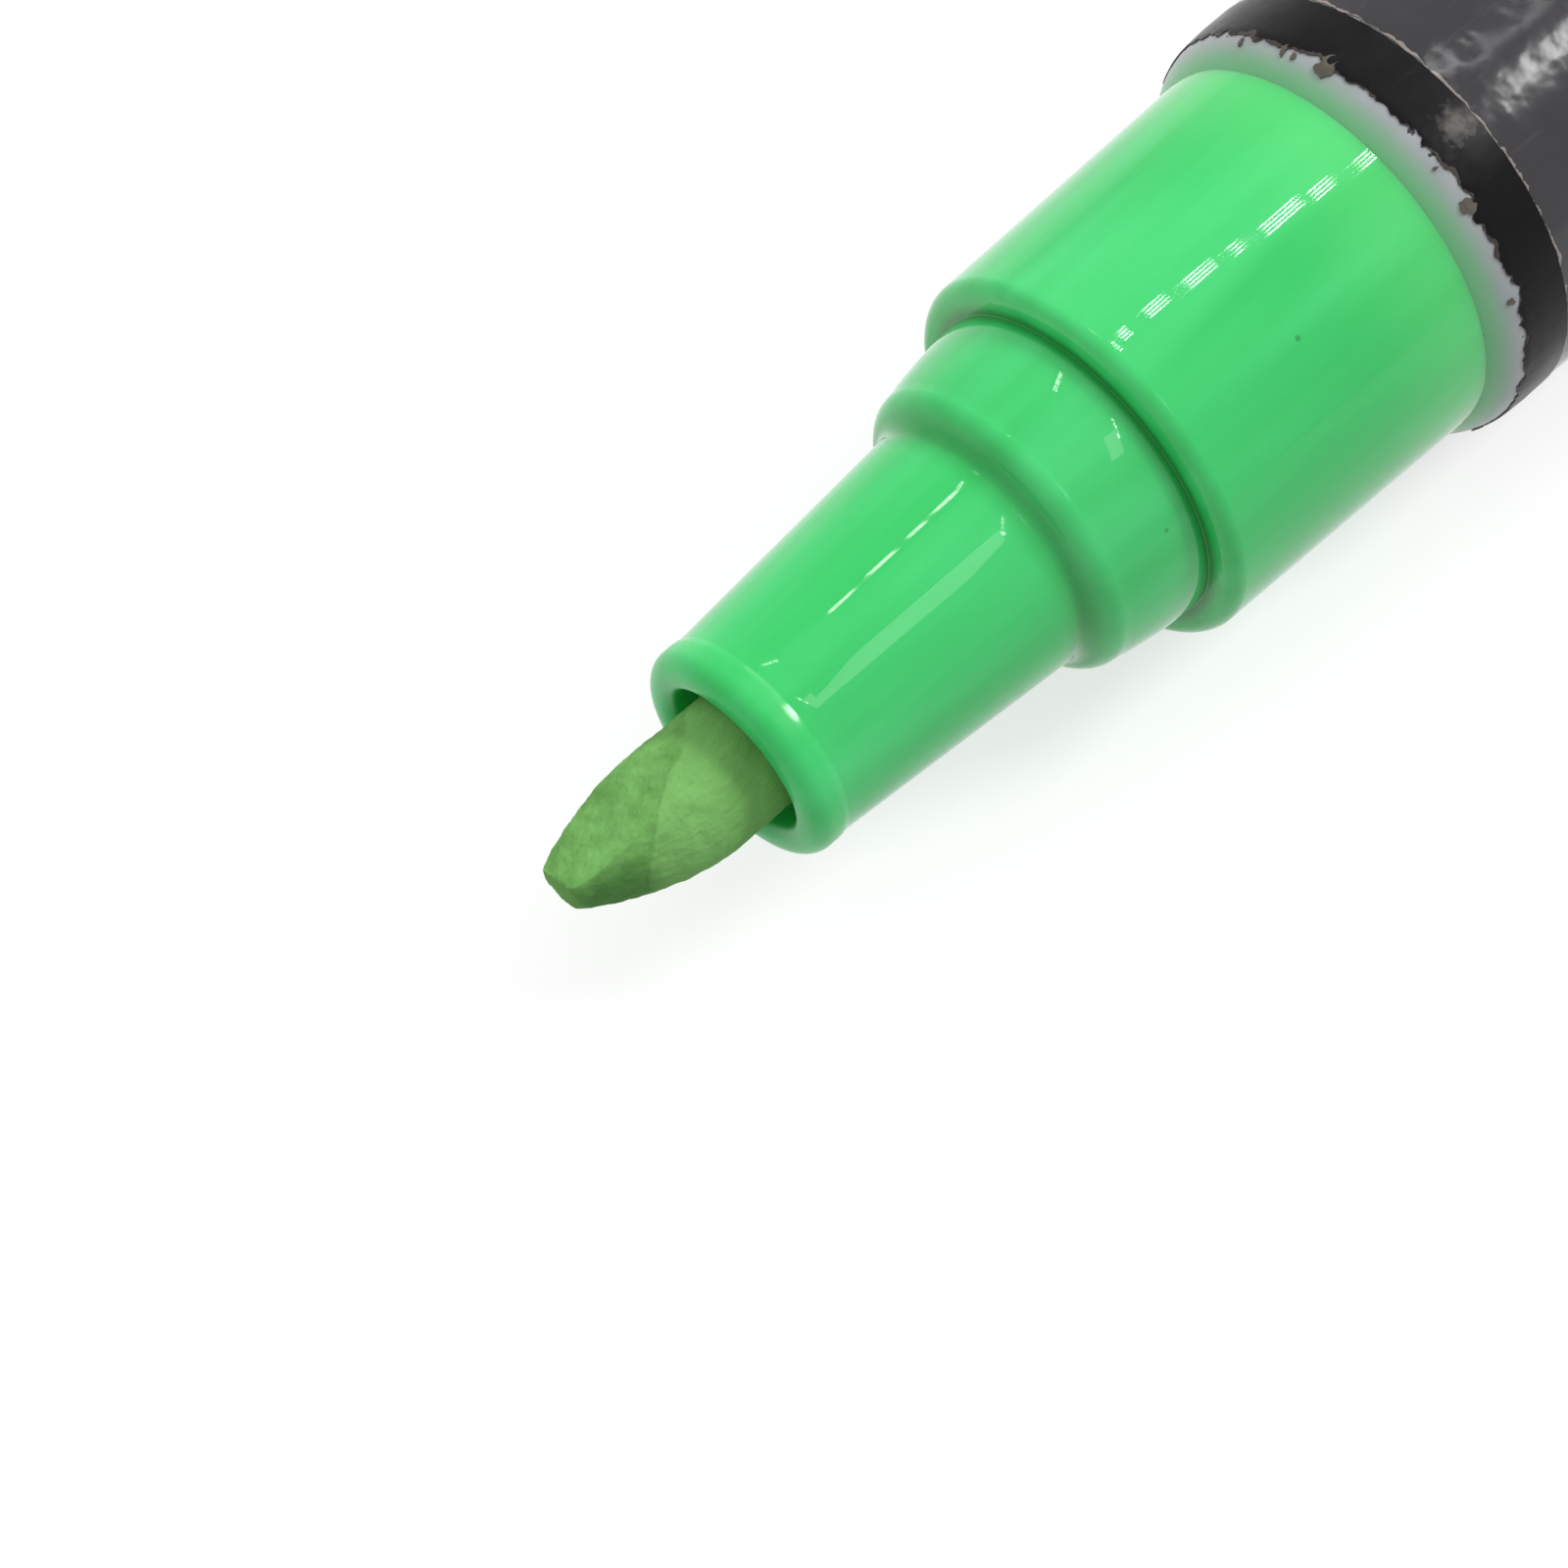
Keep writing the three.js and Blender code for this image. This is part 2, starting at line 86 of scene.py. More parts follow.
# Places and sizes of the nose
NIB_TIP, NIB_REAR = reach("nib")
LIP_FACE, SKIRT_END = reach("nose_cone")
RING_FRONT = -15.03
RING_REAR = -11.14
HOLE = 2.61
HOLE_ROUNDING = 0.42
LIP_RADIUS = 3.82
LIP_ROUNDING = 0.7
CONE_FRONT_RADIUS = 3.775
CONE_ROOT_RADIUS = 4.43
RING_FRONT_RADIUS = 5.32
RING_REAR_RADIUS = 5.72
BODY_FRONT_RADIUS = 6.78
BODY_RADIUS = 7.05
THROAT_RADIUS = 5.2
THROAT_FRONT = -9.2
THROAT_CONE = 1.6
SKIRT_RADIUS = 6.45

# Barrel and films
BARREL_END = reach("barrel")[1]
BARREL_RADIUS = 7.68
BARREL_BORE = 6.5
RIM_LENGTH = 1.35
RIM_FULLNESS = 0.9
RIM_START = BODY_RADIUS - 0.02
FILM_RADIUS = 7.72
BAND_FRONT = 1.07
BAND_REAR = reach("band_film")[1]
LABEL_FRONT, LABEL_REAR = reach("label_film")

# Facets
WIDE_SIDES = 160
FILM_SIDES = 640
ARC_STEPS = 8
LINE_STEPS = 12
SMOOTH_ANGLE = math.radians(32)
SHARP_ANGLE = math.radians(40)
WELD = 1e-6

# Camera: its place from the seam, its direction, and the focal length in pixels
CAMERA_PLACE = (-70.18, -47.15, 121.39)
CAMERA_FORWARD = (0.32715, 0.33175, -0.88483)
FOCAL_PIXELS = 4700
IMAGE_PIXELS = 1600
SENSOR = 36

camera_data = bpy.data.cameras.new("camera")
camera_data.sensor_width = SENSOR
camera_data.lens = FOCAL_PIXELS / IMAGE_PIXELS * SENSOR
camera_data.clip_start = 5 * MM
camera = bpy.data.objects.new("camera", camera_data)
bpy.context.scene.collection.objects.link(camera)
camera.location = place(0) + Vector(CAMERA_PLACE) * MM
camera.rotation_mode = "QUATERNION"
camera.rotation_quaternion = Vector(CAMERA_FORWARD).to_track_quat("-Z", "Y")
bpy.context.scene.camera = camera


# Modelling
def arc(along, radius, size, start, end, steps=ARC_STEPS):
    """Points on a circular arc of a profile, angles in degrees."""
    points = []
    for step in range(steps + 1):
        angle = math.radians(start + (end - start) * step / steps)
        points.append((along + size * math.cos(angle), radius + size * math.sin(angle)))
    return points


def along_line(first, last):
    """Evenly spaced points on a straight part of a profile."""
    return [
        tuple(a + (b - a) * step / LINE_STEPS for a, b in zip(first, last))
        for step in range(LINE_STEPS + 1)
    ]


def step_up(along, foot, top, hollow, round_over):
    """A shoulder that rises from foot to top: a hollow of one radius, then a rounded edge."""
    reach_both = hollow + round_over
    drop = min(0.0, top - foot - reach_both)
    lean = math.asin(drop / reach_both)
    across = reach_both * math.cos(lean)
    turn = math.degrees(lean)
    edge = along + round_over
    return [
        *arc(edge - across, foot + hollow, hollow, 270, 360 + turn),
        *arc(edge, top - round_over, round_over, 180 + turn, 90, 12),
    ]


def start_point(name, location):
    """A plane added at its place and merged to the one point that a profile is drawn from."""
    bpy.ops.object.select_all(action="DESELECT")
    bpy.ops.mesh.primitive_plane_add(size=MM, location=location)
    piece = bpy.context.active_object
    piece.name = piece.data.name = name
    bpy.ops.object.transform_apply(location=True, rotation=True, scale=True)
    bpy.ops.object.mode_set(mode="EDIT")
    bpy.ops.mesh.merge(type="CENTER")
    return piece


def draw(corners, angle=0.0):
    """Extrudes the selected point through the corners of a profile of (along, radius)."""
    for (along, radius), (next_along, next_radius) in zip(corners, corners[1:]):
        step = (ALONG * (next_along - along) + outward(angle) * (next_radius - radius)) * MM
        bpy.ops.mesh.extrude_region_move(TRANSFORM_OT_translate={"value": step})
    bpy.ops.mesh.select_all(action="SELECT")


def close_up(piece):
    """Welds the mesh, turns its faces outwards and shades it smooth."""
    bpy.ops.mesh.select_all(action="SELECT")
    bpy.ops.mesh.remove_doubles(threshold=WELD)
    bpy.ops.mesh.normals_make_consistent(inside=False)
    bpy.ops.object.mode_set(mode="OBJECT")
    bpy.ops.object.shade_smooth_by_angle(angle=SMOOTH_ANGLE)
    return piece


def turned(name, profile, sides=WIDE_SIDES, closed=True, start=0.0, sweep=360.0):
    """A profile of (along, radius) points, drawn corner by corner and spun round the axis."""
    piece = start_point(name, place(*profile[0], start))
    draw(profile + profile[:1] if closed else profile, start)
    bpy.ops.mesh.spin(steps=sides, angle=math.radians(sweep), center=place(0), axis=ALONG)
    return close_up(piece)


def slab(name, outline, width, angle):
    """An outline of (along, radius) corners is drawn, filled and extruded across the pen."""
    piece = start_point(name, place(*outline[0], angle) - sideways(angle) * width / 2 * MM)
    draw(outline + outline[:1], angle)
    bpy.ops.mesh.remove_doubles(threshold=WELD)
    bpy.ops.mesh.edge_face_add()
    bpy.ops.mesh.extrude_region_move(TRANSFORM_OT_translate={"value": sideways(angle) * width * MM})
    return close_up(piece)


def lofted(name, rings, sides):
    """A circle is extruded from ring to ring of (centre, radius), scaled round each new centre."""
    (centre, radius), *others = rings
    bpy.ops.object.select_all(action="DESELECT")
    bpy.ops.mesh.primitive_circle_add(
        vertices=sides, radius=radius * MM, fill_type="NGON", location=centre,
        rotation=(0, math.pi / 2, 0),
    )
    piece = bpy.context.active_object
    piece.name = piece.data.name = name
    bpy.ops.object.transform_apply(location=True, rotation=True, scale=True)
    bpy.ops.object.mode_set(mode="EDIT")
    bpy.ops.mesh.select_all(action="SELECT")
    for next_centre, next_radius in others:
        bpy.ops.mesh.extrude_region_move(TRANSFORM_OT_translate={"value": next_centre - centre})
        scale = next_radius / radius
        bpy.ops.transform.resize(value=(1, scale, scale), center_override=next_centre)
        centre, radius = next_centre, next_radius
    return close_up(piece)


def select_points(piece, wanted):
    """In edit mode, selects the points of which wanted is true, and only those."""
    bpy.ops.mesh.select_mode(type="VERT")
    bpy.ops.mesh.select_all(action="DESELECT")
    mesh = bmesh.from_edit_mesh(piece.data)
    for vertex in mesh.verts:
        if wanted(vertex.co):
            vertex.select_set(True)
    mesh.select_flush(True)
    bmesh.update_edit_mesh(piece.data)


def make_active(piece):
    """Selects one piece alone."""
    bpy.ops.object.select_all(action="DESELECT")
    piece.select_set(True)
    bpy.context.view_layer.objects.active = piece


def apply_all(piece):
    """Applies every modifier of a piece in its order."""
    make_active(piece)
    for modifier in list(piece.modifiers):
        bpy.ops.object.modifier_apply(modifier=modifier.name)


def combine(piece, other, operation):
    """Joins another solid to the piece, or cuts it out, and removes the other."""
    modifier = piece.modifiers.new(operation, "BOOLEAN")
    modifier.operation = operation
    modifier.solver = "EXACT"
    modifier.object = other
    apply_all(piece)
    bpy.data.objects.remove(other)


def soften(piece, width, segments=3):
    """Rounds the sharp edges of a piece."""
    modifier = piece.modifiers.new("rounding", "BEVEL")
    modifier.width = width * MM
    modifier.segments = segments
    modifier.limit_method = "ANGLE"
    modifier.angle_limit = SHARP_ANGLE
    modifier.use_clamp_overlap = True
    apply_all(piece)
    bpy.ops.object.shade_smooth_by_angle(angle=SMOOTH_ANGLE)


def displace(piece, size, strength, group, direction="NORMAL"):
    """A Displace modifier with a procedural noise whose features are of this size, on a group."""
    texture = bpy.data.textures.new("noise", "CLOUDS")
    texture.noise_scale = size * MM
    texture.noise_depth = 2
    modifier = piece.modifiers.new("relief", "DISPLACE")
    modifier.texture = texture
    modifier.texture_coords = "LOCAL"
    modifier.direction = direction
    modifier.vertex_group = group
    modifier.mid_level = 0.5
    modifier.strength = strength * MM


def weigh(piece, name, weight):
    """A vertex group whose weights come from each point's place."""
    weights = [weight(vertex.co) for vertex in piece.data.vertices]
    group = piece.vertex_groups.new(name=name)
    for index, value in enumerate(weights):
        group.add([index], value, "REPLACE")


def coat(piece, finish):
    """Gives a piece one finish."""
    piece.data.materials.clear()
    piece.data.materials.append(finish)


def seat(piece, body, name, finish):
    """The piece takes the place of its CAD node, on that node's body."""
    coat(piece, finish)
    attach(piece, body)
    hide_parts(name)


# Materials
def colour(code):
    """An sRGB hex colour as linear RGBA."""
    channels = [int(code[i : i + 2], 16) / 255 for i in (0, 2, 4)]
    linear = [c / 12.92 if c <= 0.04045 else ((c + 0.055) / 1.055) ** 2.4 for c in channels]
    return (*linear, 1)


def material(name, roughness, ior=1.5, metallic=0.0):
    """A new material, its Principled shader, its tree and its Object coordinates."""
    made = bpy.data.materials.new(name)
    made.use_nodes = True
    tree = made.node_tree
    shader = tree.nodes["Principled BSDF"]
    shader.inputs["Roughness"].default_value = roughness
    shader.inputs["IOR"].default_value = ior
    shader.inputs["Metallic"].default_value = metallic
    return made, tree, shader, tree.nodes.new("ShaderNodeTexCoord").outputs["Object"]


def node(tree, kind, inputs=None, **settings):
    """Adds a node, sets its properties, and fills its sockets with values or links."""
    made = tree.nodes.new(kind)
    for key, value in settings.items():
        setattr(made, key, value)
    for key, value in (inputs or {}).items():
        if isinstance(value, bpy.types.NodeSocket):
            tree.links.new(value, made.inputs[key])
        else:
            made.inputs[key].default_value = value
    return made


# Sockets of the Map Range, Mapping and Mix nodes, and those of Mix for colours and for numbers
VALUE, FROM_LOW, FROM_HIGH, TO_LOW, TO_HIGH = range(5)
STRETCH = 3
FACTOR, FIRST, SECOND, MIXED = 0, 6, 7, 2
FIRST_NUMBER, SECOND_NUMBER = 2, 3


def noise(tree, where, size, detail, roughness=0.5):
    """A noise from 0 to 1 whose features are this many millimetres wide."""
    return node(
        tree, "ShaderNodeTexNoise",
        {"Vector": where, "Scale": 1 / (size * MM), "Detail": detail, "Roughness": roughness},
    ).outputs[0]


def stretched(tree, where, stretch):
    """Coordinates in which a pattern is drawn out along each axis whose number is under 1."""
    return node(tree, "ShaderNodeMapping", {0: where, STRETCH: stretch}).outputs[0]


def ramp(tree, value, low, high, to_low=0, to_high=1, smooth=False):
    """A number that goes from to_low to to_high while the value goes from low to high."""
    return node(
        tree, "ShaderNodeMapRange",
        {VALUE: value, FROM_LOW: low, FROM_HIGH: high, TO_LOW: to_low, TO_HIGH: to_high},
        interpolation_type="SMOOTHSTEP" if smooth else "LINEAR",
    ).outputs[0]


def blend(tree, factor, first, second):
    """One colour mixed into another."""
    return node(
        tree, "ShaderNodeMix", {FACTOR: factor, FIRST: first, SECOND: second}, data_type="RGBA",
    ).outputs[MIXED]


def maths(tree, operation, *values):
    """A number worked out from one, two or three others."""
    return node(tree, "ShaderNodeMath", dict(enumerate(values)), operation=operation).outputs[0]


def vector_maths(tree, operation, *values):
    """The outputs of an operation on vectors: the first is a vector, and Value is a number."""
    inputs = dict(enumerate(values))
    return node(tree, "ShaderNodeVectorMath", inputs, operation=operation).outputs


def emboss(tree, shader, height, depth):
    """Raises the surface by this many millimetres where the height is 1."""
    bump = node(tree, "ShaderNodeBump", {"Height": height, "Strength": 1, "Distance": depth * MM})
    tree.links.new(bump.outputs[0], shader.inputs["Normal"])


# Specks in the green plastic: along the pen, radius, angle and size
SPECKS = ((-5.9, 6.93, -33.9, 0.13), (-12.28, 5.6, -56.8, 0.11), (-12.19, 5.6, 27.5, 0.07))

# Hollows of the nose, painted deeper green as shade: along the pen, radius, reach and strength
HOLLOW_SHADE = (
    (RING_REAR, RING_REAR_RADIUS, 0.5, 0.95),
    (RING_FRONT - 0.25, CONE_ROOT_RADIUS, 0.95, 0.55),
)

# The green plastic: the length of the paler stretch, where the dulled lip ends and the gloss
# starts, how rough each is, and the height of the rings that the mould left
PALER_LENGTH = 5
DULL_END = LIP_FACE + 0.9
GLOSS_START = LIP_FACE + 1.5
DULL_ROUGHNESS = 0.3
GLOSS_ROUGHNESS = 0.02
MOULD_RING_HEIGHT = 0.0012


def green_polypropylene():
    """Moulded polypropylene, coloured through: glossy and a little translucent, with its hollows
    painted deeper green as shade. It shows soft flow bands along the pen, paler plastic where the
    nose meets the barrel, a lip dulled by handling, faint rings that the mould left, and specks."""
    made, tree, shader, here = material("moulded_polypropylene_green", GLOSS_ROUGHNESS, 1.42)
    flow = noise(tree, stretched(tree, here, (0.14, 1, 1)), 2.2, 2)
    base = blend(tree, ramp(tree, flow, 0.35, 0.65), colour("32CB68"), colour("48D97C"))
    lengthwise = node(tree, "ShaderNodeSeparateXYZ", {0: here}).outputs[0]
    rear = ramp(tree, lengthwise, SEAM - PALER_LENGTH * MM, SEAM, 0, 0.55, smooth=True)
    shown = blend(tree, rear, base, colour("5FDD78"))
    axis = Vector((0, AXIS_Y, AXIS_Z))
    across = vector_maths(tree, "MULTIPLY_ADD", here, Vector((0, 1, 1)), -axis)[0]
    from_axis = vector_maths(tree, "LENGTH", across)["Value"]
    section = node(tree, "ShaderNodeCombineXYZ", {0: lengthwise, 1: from_axis}).outputs[0]
    # Painted shade: the nose is mixed towards deep green in its hollows
    for along, radius, size, depth in HOLLOW_SHADE:
        corner = Vector((SEAM + along * MM, radius * MM, 0))
        away = vector_maths(tree, "DISTANCE", section, corner)["Value"]
        mask = ramp(tree, away, 0, size * MM, depth, 0, smooth=True)
        shown = blend(tree, mask, shown, colour("129A38"))
    for along, radius, angle, size in SPECKS:
        away = vector_maths(tree, "DISTANCE", here, place(along, radius, angle))["Value"]
        mask = ramp(tree, away, 0.5 * size * MM, size * MM, 0.55, 0)
        shown = blend(tree, mask, shown, colour("1C6E38"))
    tree.links.new(shown, shader.inputs["Base Color"])
    dulled = ramp(
        tree, lengthwise, place(DULL_END).x, place(GLOSS_START).x, DULL_ROUGHNESS, GLOSS_ROUGHNESS,
    )
    tree.links.new(dulled, shader.inputs["Roughness"])
    rings = noise(tree, stretched(tree, here, (1, 0.006, 0.006)), 1.2, 1.5)
    emboss(tree, shader, rings, MOULD_RING_HEIGHT)
    shader.inputs["Subsurface Weight"].default_value = 0.35
    shader.inputs["Subsurface Radius"].default_value = (0.35, 1.0, 0.5)
    shader.inputs["Subsurface Scale"].default_value = 1.4 * MM
    return made


# On the nib: the edge at which the worn flat ends, its direction, and the middle of a darker green
# patch under the tip
WORN_EDGE = (-27.8, 2.0, 13)
WORN_EDGE_DIRECTION = Vector((0.525, -0.85, 0))
DARK_PATCH_UNDER_TIP = (NIB_TIP + 1.0, 1.2, -80)
FELT_HEIGHT = 0.09


def nib_fibre():
    """Bonded polyester fibre soaked with paint: matt and felted, blotchy, with clumps of fibre
    along the nib and darker paint in the hollows between them. The worn flat is a little darker
    than the fibre behind it, and the fibre is darker green in a patch under the tip."""
    made, tree, shader, here = material("bonded_polyester_fibre_green", 0.9, 1.4)
    blotch = noise(tree, here, 1.6, 3, 0.6)
    base = blend(tree, ramp(tree, blotch, 0.35, 0.68), colour("659F4E"), colour("7DBD66"))
    clumps = noise(tree, stretched(tree, here, (0.45, 1, 1)), 0.28, 4, 0.6)
    clumped = blend(tree, ramp(tree, clumps, 0.25, 0.38, 0.4, 0), base, colour("3E7F35"))
    from_edge = vector_maths(tree, "SUBTRACT", here, place(*WORN_EDGE))[0]
    beyond = vector_maths(tree, "DOT_PRODUCT", from_edge, WORN_EDGE_DIRECTION)["Value"]
    ragged = maths(tree, "MULTIPLY_ADD", blotch, 0.9 * MM, beyond)
    unworn = ramp(tree, ragged, 0.37 * MM, 0.53 * MM, smooth=True)
    lighter = blend(tree, maths(tree, "MULTIPLY", unworn, 0.4), clumped, colour("8CCB75"))
    # The fibre is made darker green in a patch on the underside of the tip
    from_dark_patch = vector_maths(tree, "DISTANCE", here, place(*DARK_PATCH_UNDER_TIP))["Value"]
    spread = maths(tree, "MULTIPLY_ADD", blotch, 1.2 * MM, from_dark_patch)
    darker_under_tip = ramp(tree, spread, 1.3 * MM, 2.2 * MM, 0.6, 0, smooth=True)
    shown = blend(tree, darker_under_tip, lighter, colour("336B2C"))
    tree.links.new(shown, shader.inputs["Base Color"])
    emboss(tree, shader, maths(tree, "MULTIPLY_ADD", unworn, 0.35, clumps), FELT_HEIGHT)
    return made


# White plastic: how far behind the seam the nose's green light is painted onto the rim, and where
# flecks of film are left
GREEN_BOUNCE_LENGTH = 1.0
FLECKS_AT = 1.3
FLECKS_REACH = 0.6


def white_polypropylene():
    """Moulded white polypropylene: satin, greyed by handling, with the green light that the nose
    throws onto its front edge painted in, and flecks of dark film left on it."""
    made, tree, shader, here = material("moulded_polypropylene_white", 0.32, 1.49)
    grime = noise(tree, here, 1.5, 4)
    base = blend(tree, grime, colour("A0A5A8"), colour("B2B6BA"))
    lengthwise = node(tree, "ShaderNodeSeparateXYZ", {0: here}).outputs[0]
    # Painted reflected light: the nose's green is painted onto the rim next to the seam
    edge = ramp(tree, lengthwise, SEAM, SEAM + GREEN_BOUNCE_LENGTH * MM, 1, 0, smooth=True)
    green_bounced = blend(tree, edge, base, colour("72C487"))
    fleck = noise(tree, here, 0.32, 3)
    past = maths(tree, "SUBTRACT", lengthwise, SEAM + FLECKS_AT * MM)
    near = ramp(tree, maths(tree, "ABSOLUTE", past), 0, FLECKS_REACH * MM, 0.6, 0.78)
    shown = blend(tree, maths(tree, "GREATER_THAN", fleck, near), green_bounced, colour("2B282C"))
    tree.links.new(shown, shader.inputs["Base Color"])
    emboss(tree, shader, grime, 0.02)
    shader.inputs["Subsurface Weight"].default_value = 0.25
    shader.inputs["Subsurface Radius"].default_value = (1.0, 1.0, 1.0)
    shader.inputs["Subsurface Scale"].default_value = 0.8 * MM
    return made


# Place on the band where a grey patch is painted in as a reflection of the film lamp: along the
# pen, radius and angle, and how far from it the patch starts to fade and how far it fades
BAND_SHEEN = (2.35, FILM_RADIUS, -19.5)
BAND_SHEEN_CORE = 0.9
BAND_SHEEN_FADE = 0.62


def printed_film(name, dark, light, edge_code, roughness, ior, blotch_height):
    """Printed polyester film: glossy, with a fine orange-peel that breaks reflections into
    blotches, fine scuffs along it from handling, a grey patch on the band that is a painted
    reflection, and a torn front edge where the print has flaked off its paler core."""
    made, tree, shader, here = material(name, roughness, ior)
    mottle = noise(tree, here, 1.4, 5)
    base = blend(tree, mottle, colour(dark), colour(light))
    scuffs = noise(tree, stretched(tree, here, (0.12, 1, 1)), 0.45, 3)
    handled = blend(tree, ramp(tree, scuffs, 0.62, 0.74, 0, 0.07), base, colour(edge_code))
    # Painted reflection: a grey patch on the band where the film lamp shines
    from_band_sheen = vector_maths(tree, "DISTANCE", here, place(*BAND_SHEEN))["Value"]
    ragged = maths(tree, "MULTIPLY_ADD", noise(tree, here, 0.3, 4), 1.6 * MM, from_band_sheen)
    band_sheen = ramp(tree, ragged, BAND_SHEEN_CORE * MM, (BAND_SHEEN_CORE + BAND_SHEEN_FADE) * MM, 0.8, 0)
    with_band_sheen = blend(tree, band_sheen, handled, colour("6A6662"))
    dulled = maths(tree, "MULTIPLY_ADD", mottle, roughness * 0.8, roughness * 0.6)
    tree.links.new(dulled, shader.inputs["Roughness"])
    edge = node(tree, "ShaderNodeAttribute", attribute_name="from_edge").outputs["Fac"]
    worn = ramp(tree, noise(tree, here, 0.5, 3), 0.42, 0.66, 0.02, 0.14)
    shown = blend(tree, maths(tree, "LESS_THAN", edge, worn), with_band_sheen, colour(edge_code))
    tree.links.new(shown, shader.inputs["Base Color"])
    emboss(tree, shader, noise(tree, here, 0.9, 1.5), blotch_height)
    return made


def simple_finish(name, dark, light, grain, roughness, height, ior=1.5, metallic=0.0):
    """Tone and relief from one noise, whose grain is given in millimetres."""
    made, tree, shader, here = material(name, roughness, ior, metallic)
    grains = noise(tree, here, grain, 4)
    base = blend(tree, grains, colour(dark), colour(light))
    tree.links.new(base, shader.inputs["Base Color"])
    matt = ramp(tree, grains, 0, 1, 0.75 * roughness, min(1, 1.25 * roughness))
    tree.links.new(matt, shader.inputs["Roughness"])
    emboss(tree, shader, grains, height)
    return made


GREEN = green_polypropylene()
FIBRE = nib_fibre()
WHITE = white_polypropylene()
BLACK_FILM = printed_film(
    "printed_polyester_film_black", "0C0B0D", "151316", "4A4440", 0.3, 1.2, 0.02,
)
SLATE_FILM = printed_film(
    "printed_polyester_film_slate", "1B181D", "262329", "8C827C", 0.13, 1.55, 0.024,
)

# Waxy, milky and faintly yellow, with soft moulding marks
NATURAL = simple_finish("moulded_polyethylene_natural", "DADAD0", "ECECE4", 2.0, 0.42, 0.02, 1.51)
# Dull black with the bloom of moulded rubber
RUBBER = simple_finish("moulded_nitrile_rubber", "1C1C1C", "303030", 0.3, 0.75, 0.02, 1.52)
# Hard, slippery and a cleaner white than the barrel
ACETAL = simple_finish("moulded_acetal_white", "D2D2D0", "E4E4E2", 1.2, 0.28, 0.01, 1.48)
# Fine marks on the wire from drawing it through its die
SPRING_STEEL = simple_finish(
    "drawn_stainless_wire", "9C9EA0", "C0C2C4", 0.12, 0.28, 0.004, metallic=1.0,
)
# Rolled and tumbled bright, with a trace of paint film that dulls it here and there
BALL_STEEL = simple_finish(
    "tumbled_ball_steel", "A8AAAE", "C8CACE", 1.0, 0.14, 0.003, metallic=1.0,
)
# Film torn off the band: brownish black and dull, with its paler core showing in places
FLAKE_FILM = simple_finish("printed_polyester_film_torn", "2A2622", "5C5644", 0.3, 0.5, 0.02, 1.6)

# Nib: the worn, slightly bent rod
NIB_SIDES = 144
NIB_RADIUS = 2.1
NIB_TIP_RADIUS = 0.84
NIB_POINT = 4.9
NIB_FULLNESS = 0.87
NIB_BEND = 0.5
NIB_BEND_LENGTH = 5.7
NIB_BEND_ANGLE = 70
NIB_BEND_POWER = 1.5
POINT_RINGS = 60
SHAFT_RINGS = 20
SHAFT_STEP = 0.15
WORN_ANGLE = 22
WORN_END = -27.7
WORN_TIP_HEIGHT = 0.66
WORN_BLEND = 0.6

# Its blunt tip: how far behind the foremost point, and the radius there
TIP_FACE = ((0, 0.2), (0, 0.4), (0, 0.58), (0.02, 0.72), (0.06, 0.8))
TIP_FACE_LENGTH = 0.12

# Its rear edge: how far before the end, and how far in from the side
REAR_EDGE = ((0.5, 0), (0.1, 0.4), (0, 0.5))
REAR_CENTRE_RADIUS = 0.5

# Its felted relief: size of the tufts and their height, and the length over which it starts
TUFTS = ((0.55, 0.1), (0.17, 0.05))
TUFTS_START = 0.5


def nib():
    """A rod lofted along its bent axis, worn to a flat on one side, and felted where it shows."""
    def centre(along):
        ahead = max(0.0, (NIB_TIP + NIB_BEND_LENGTH - along) / NIB_BEND_LENGTH)
        return place(along, NIB_BEND * ahead ** NIB_BEND_POWER, NIB_BEND_ANGLE)

    rings = [(centre(NIB_TIP + behind), radius) for behind, radius in TIP_FACE]
    for step in range(POINT_RINGS + 1):
        share = step / POINT_RINGS
        swell = math.sin(share * math.pi / 2) ** NIB_FULLNESS
        along = NIB_TIP + TIP_FACE_LENGTH + (NIB_POINT - TIP_FACE_LENGTH) * share
        rings.append((centre(along), NIB_TIP_RADIUS + (NIB_RADIUS - NIB_TIP_RADIUS) * swell))
    shaft_front = NIB_TIP + NIB_POINT
    for step in range(1, SHAFT_RINGS + 1):
        rings.append((centre(shaft_front + SHAFT_STEP * step), NIB_RADIUS))
    for before, inward in REAR_EDGE:
        rings.append((centre(NIB_REAR - before), NIB_RADIUS - inward))
    rings.append((centre(NIB_REAR), REAR_CENTRE_RADIUS))
    piece = lofted("nib_rod", rings, NIB_SIDES)

    # The side that writes is worn to a flat that runs out half way up the point
    foot = place(NIB_TIP, WORN_TIP_HEIGHT, WORN_ANGLE)
    head = place(WORN_END, NIB_RADIUS, WORN_ANGLE)
    side = sideways(WORN_ANGLE)
    normal = (foot - head).normalized().cross(side).normalized()
    if normal.z < 0:
        normal.negate()
    make_active(piece)
    bpy.ops.object.mode_set(mode="EDIT")
    select_points(piece, lambda point: (point - foot).dot(normal) > 0 and point.x < head.x)
    bpy.ops.transform.resize(
        value=(1, 1, 0), orient_type="GLOBAL", orient_matrix=(side, normal.cross(side), normal),
        orient_matrix_type="GLOBAL", constraint_axis=(False, False, True), center_override=foot,
    )
    select_points(piece, lambda point: point.x < place(WORN_END + WORN_BLEND).x)
    bpy.ops.mesh.vertices_smooth(factor=0.5, repeat=2)
    bpy.ops.object.mode_set(mode="OBJECT")

    lip = place(LIP_FACE).x
    weigh(piece, "outside", lambda point: min(1.0, max(0.0, (lip - point.x) / (TUFTS_START * MM))))
    for size, height in TUFTS:
        displace(piece, size, height, "outside")
    apply_all(piece)
    bpy.ops.object.shade_smooth_by_angle(angle=SMOOTH_ANGLE)
    return piece


seat(nib(), "nib", "nib", FIBRE)

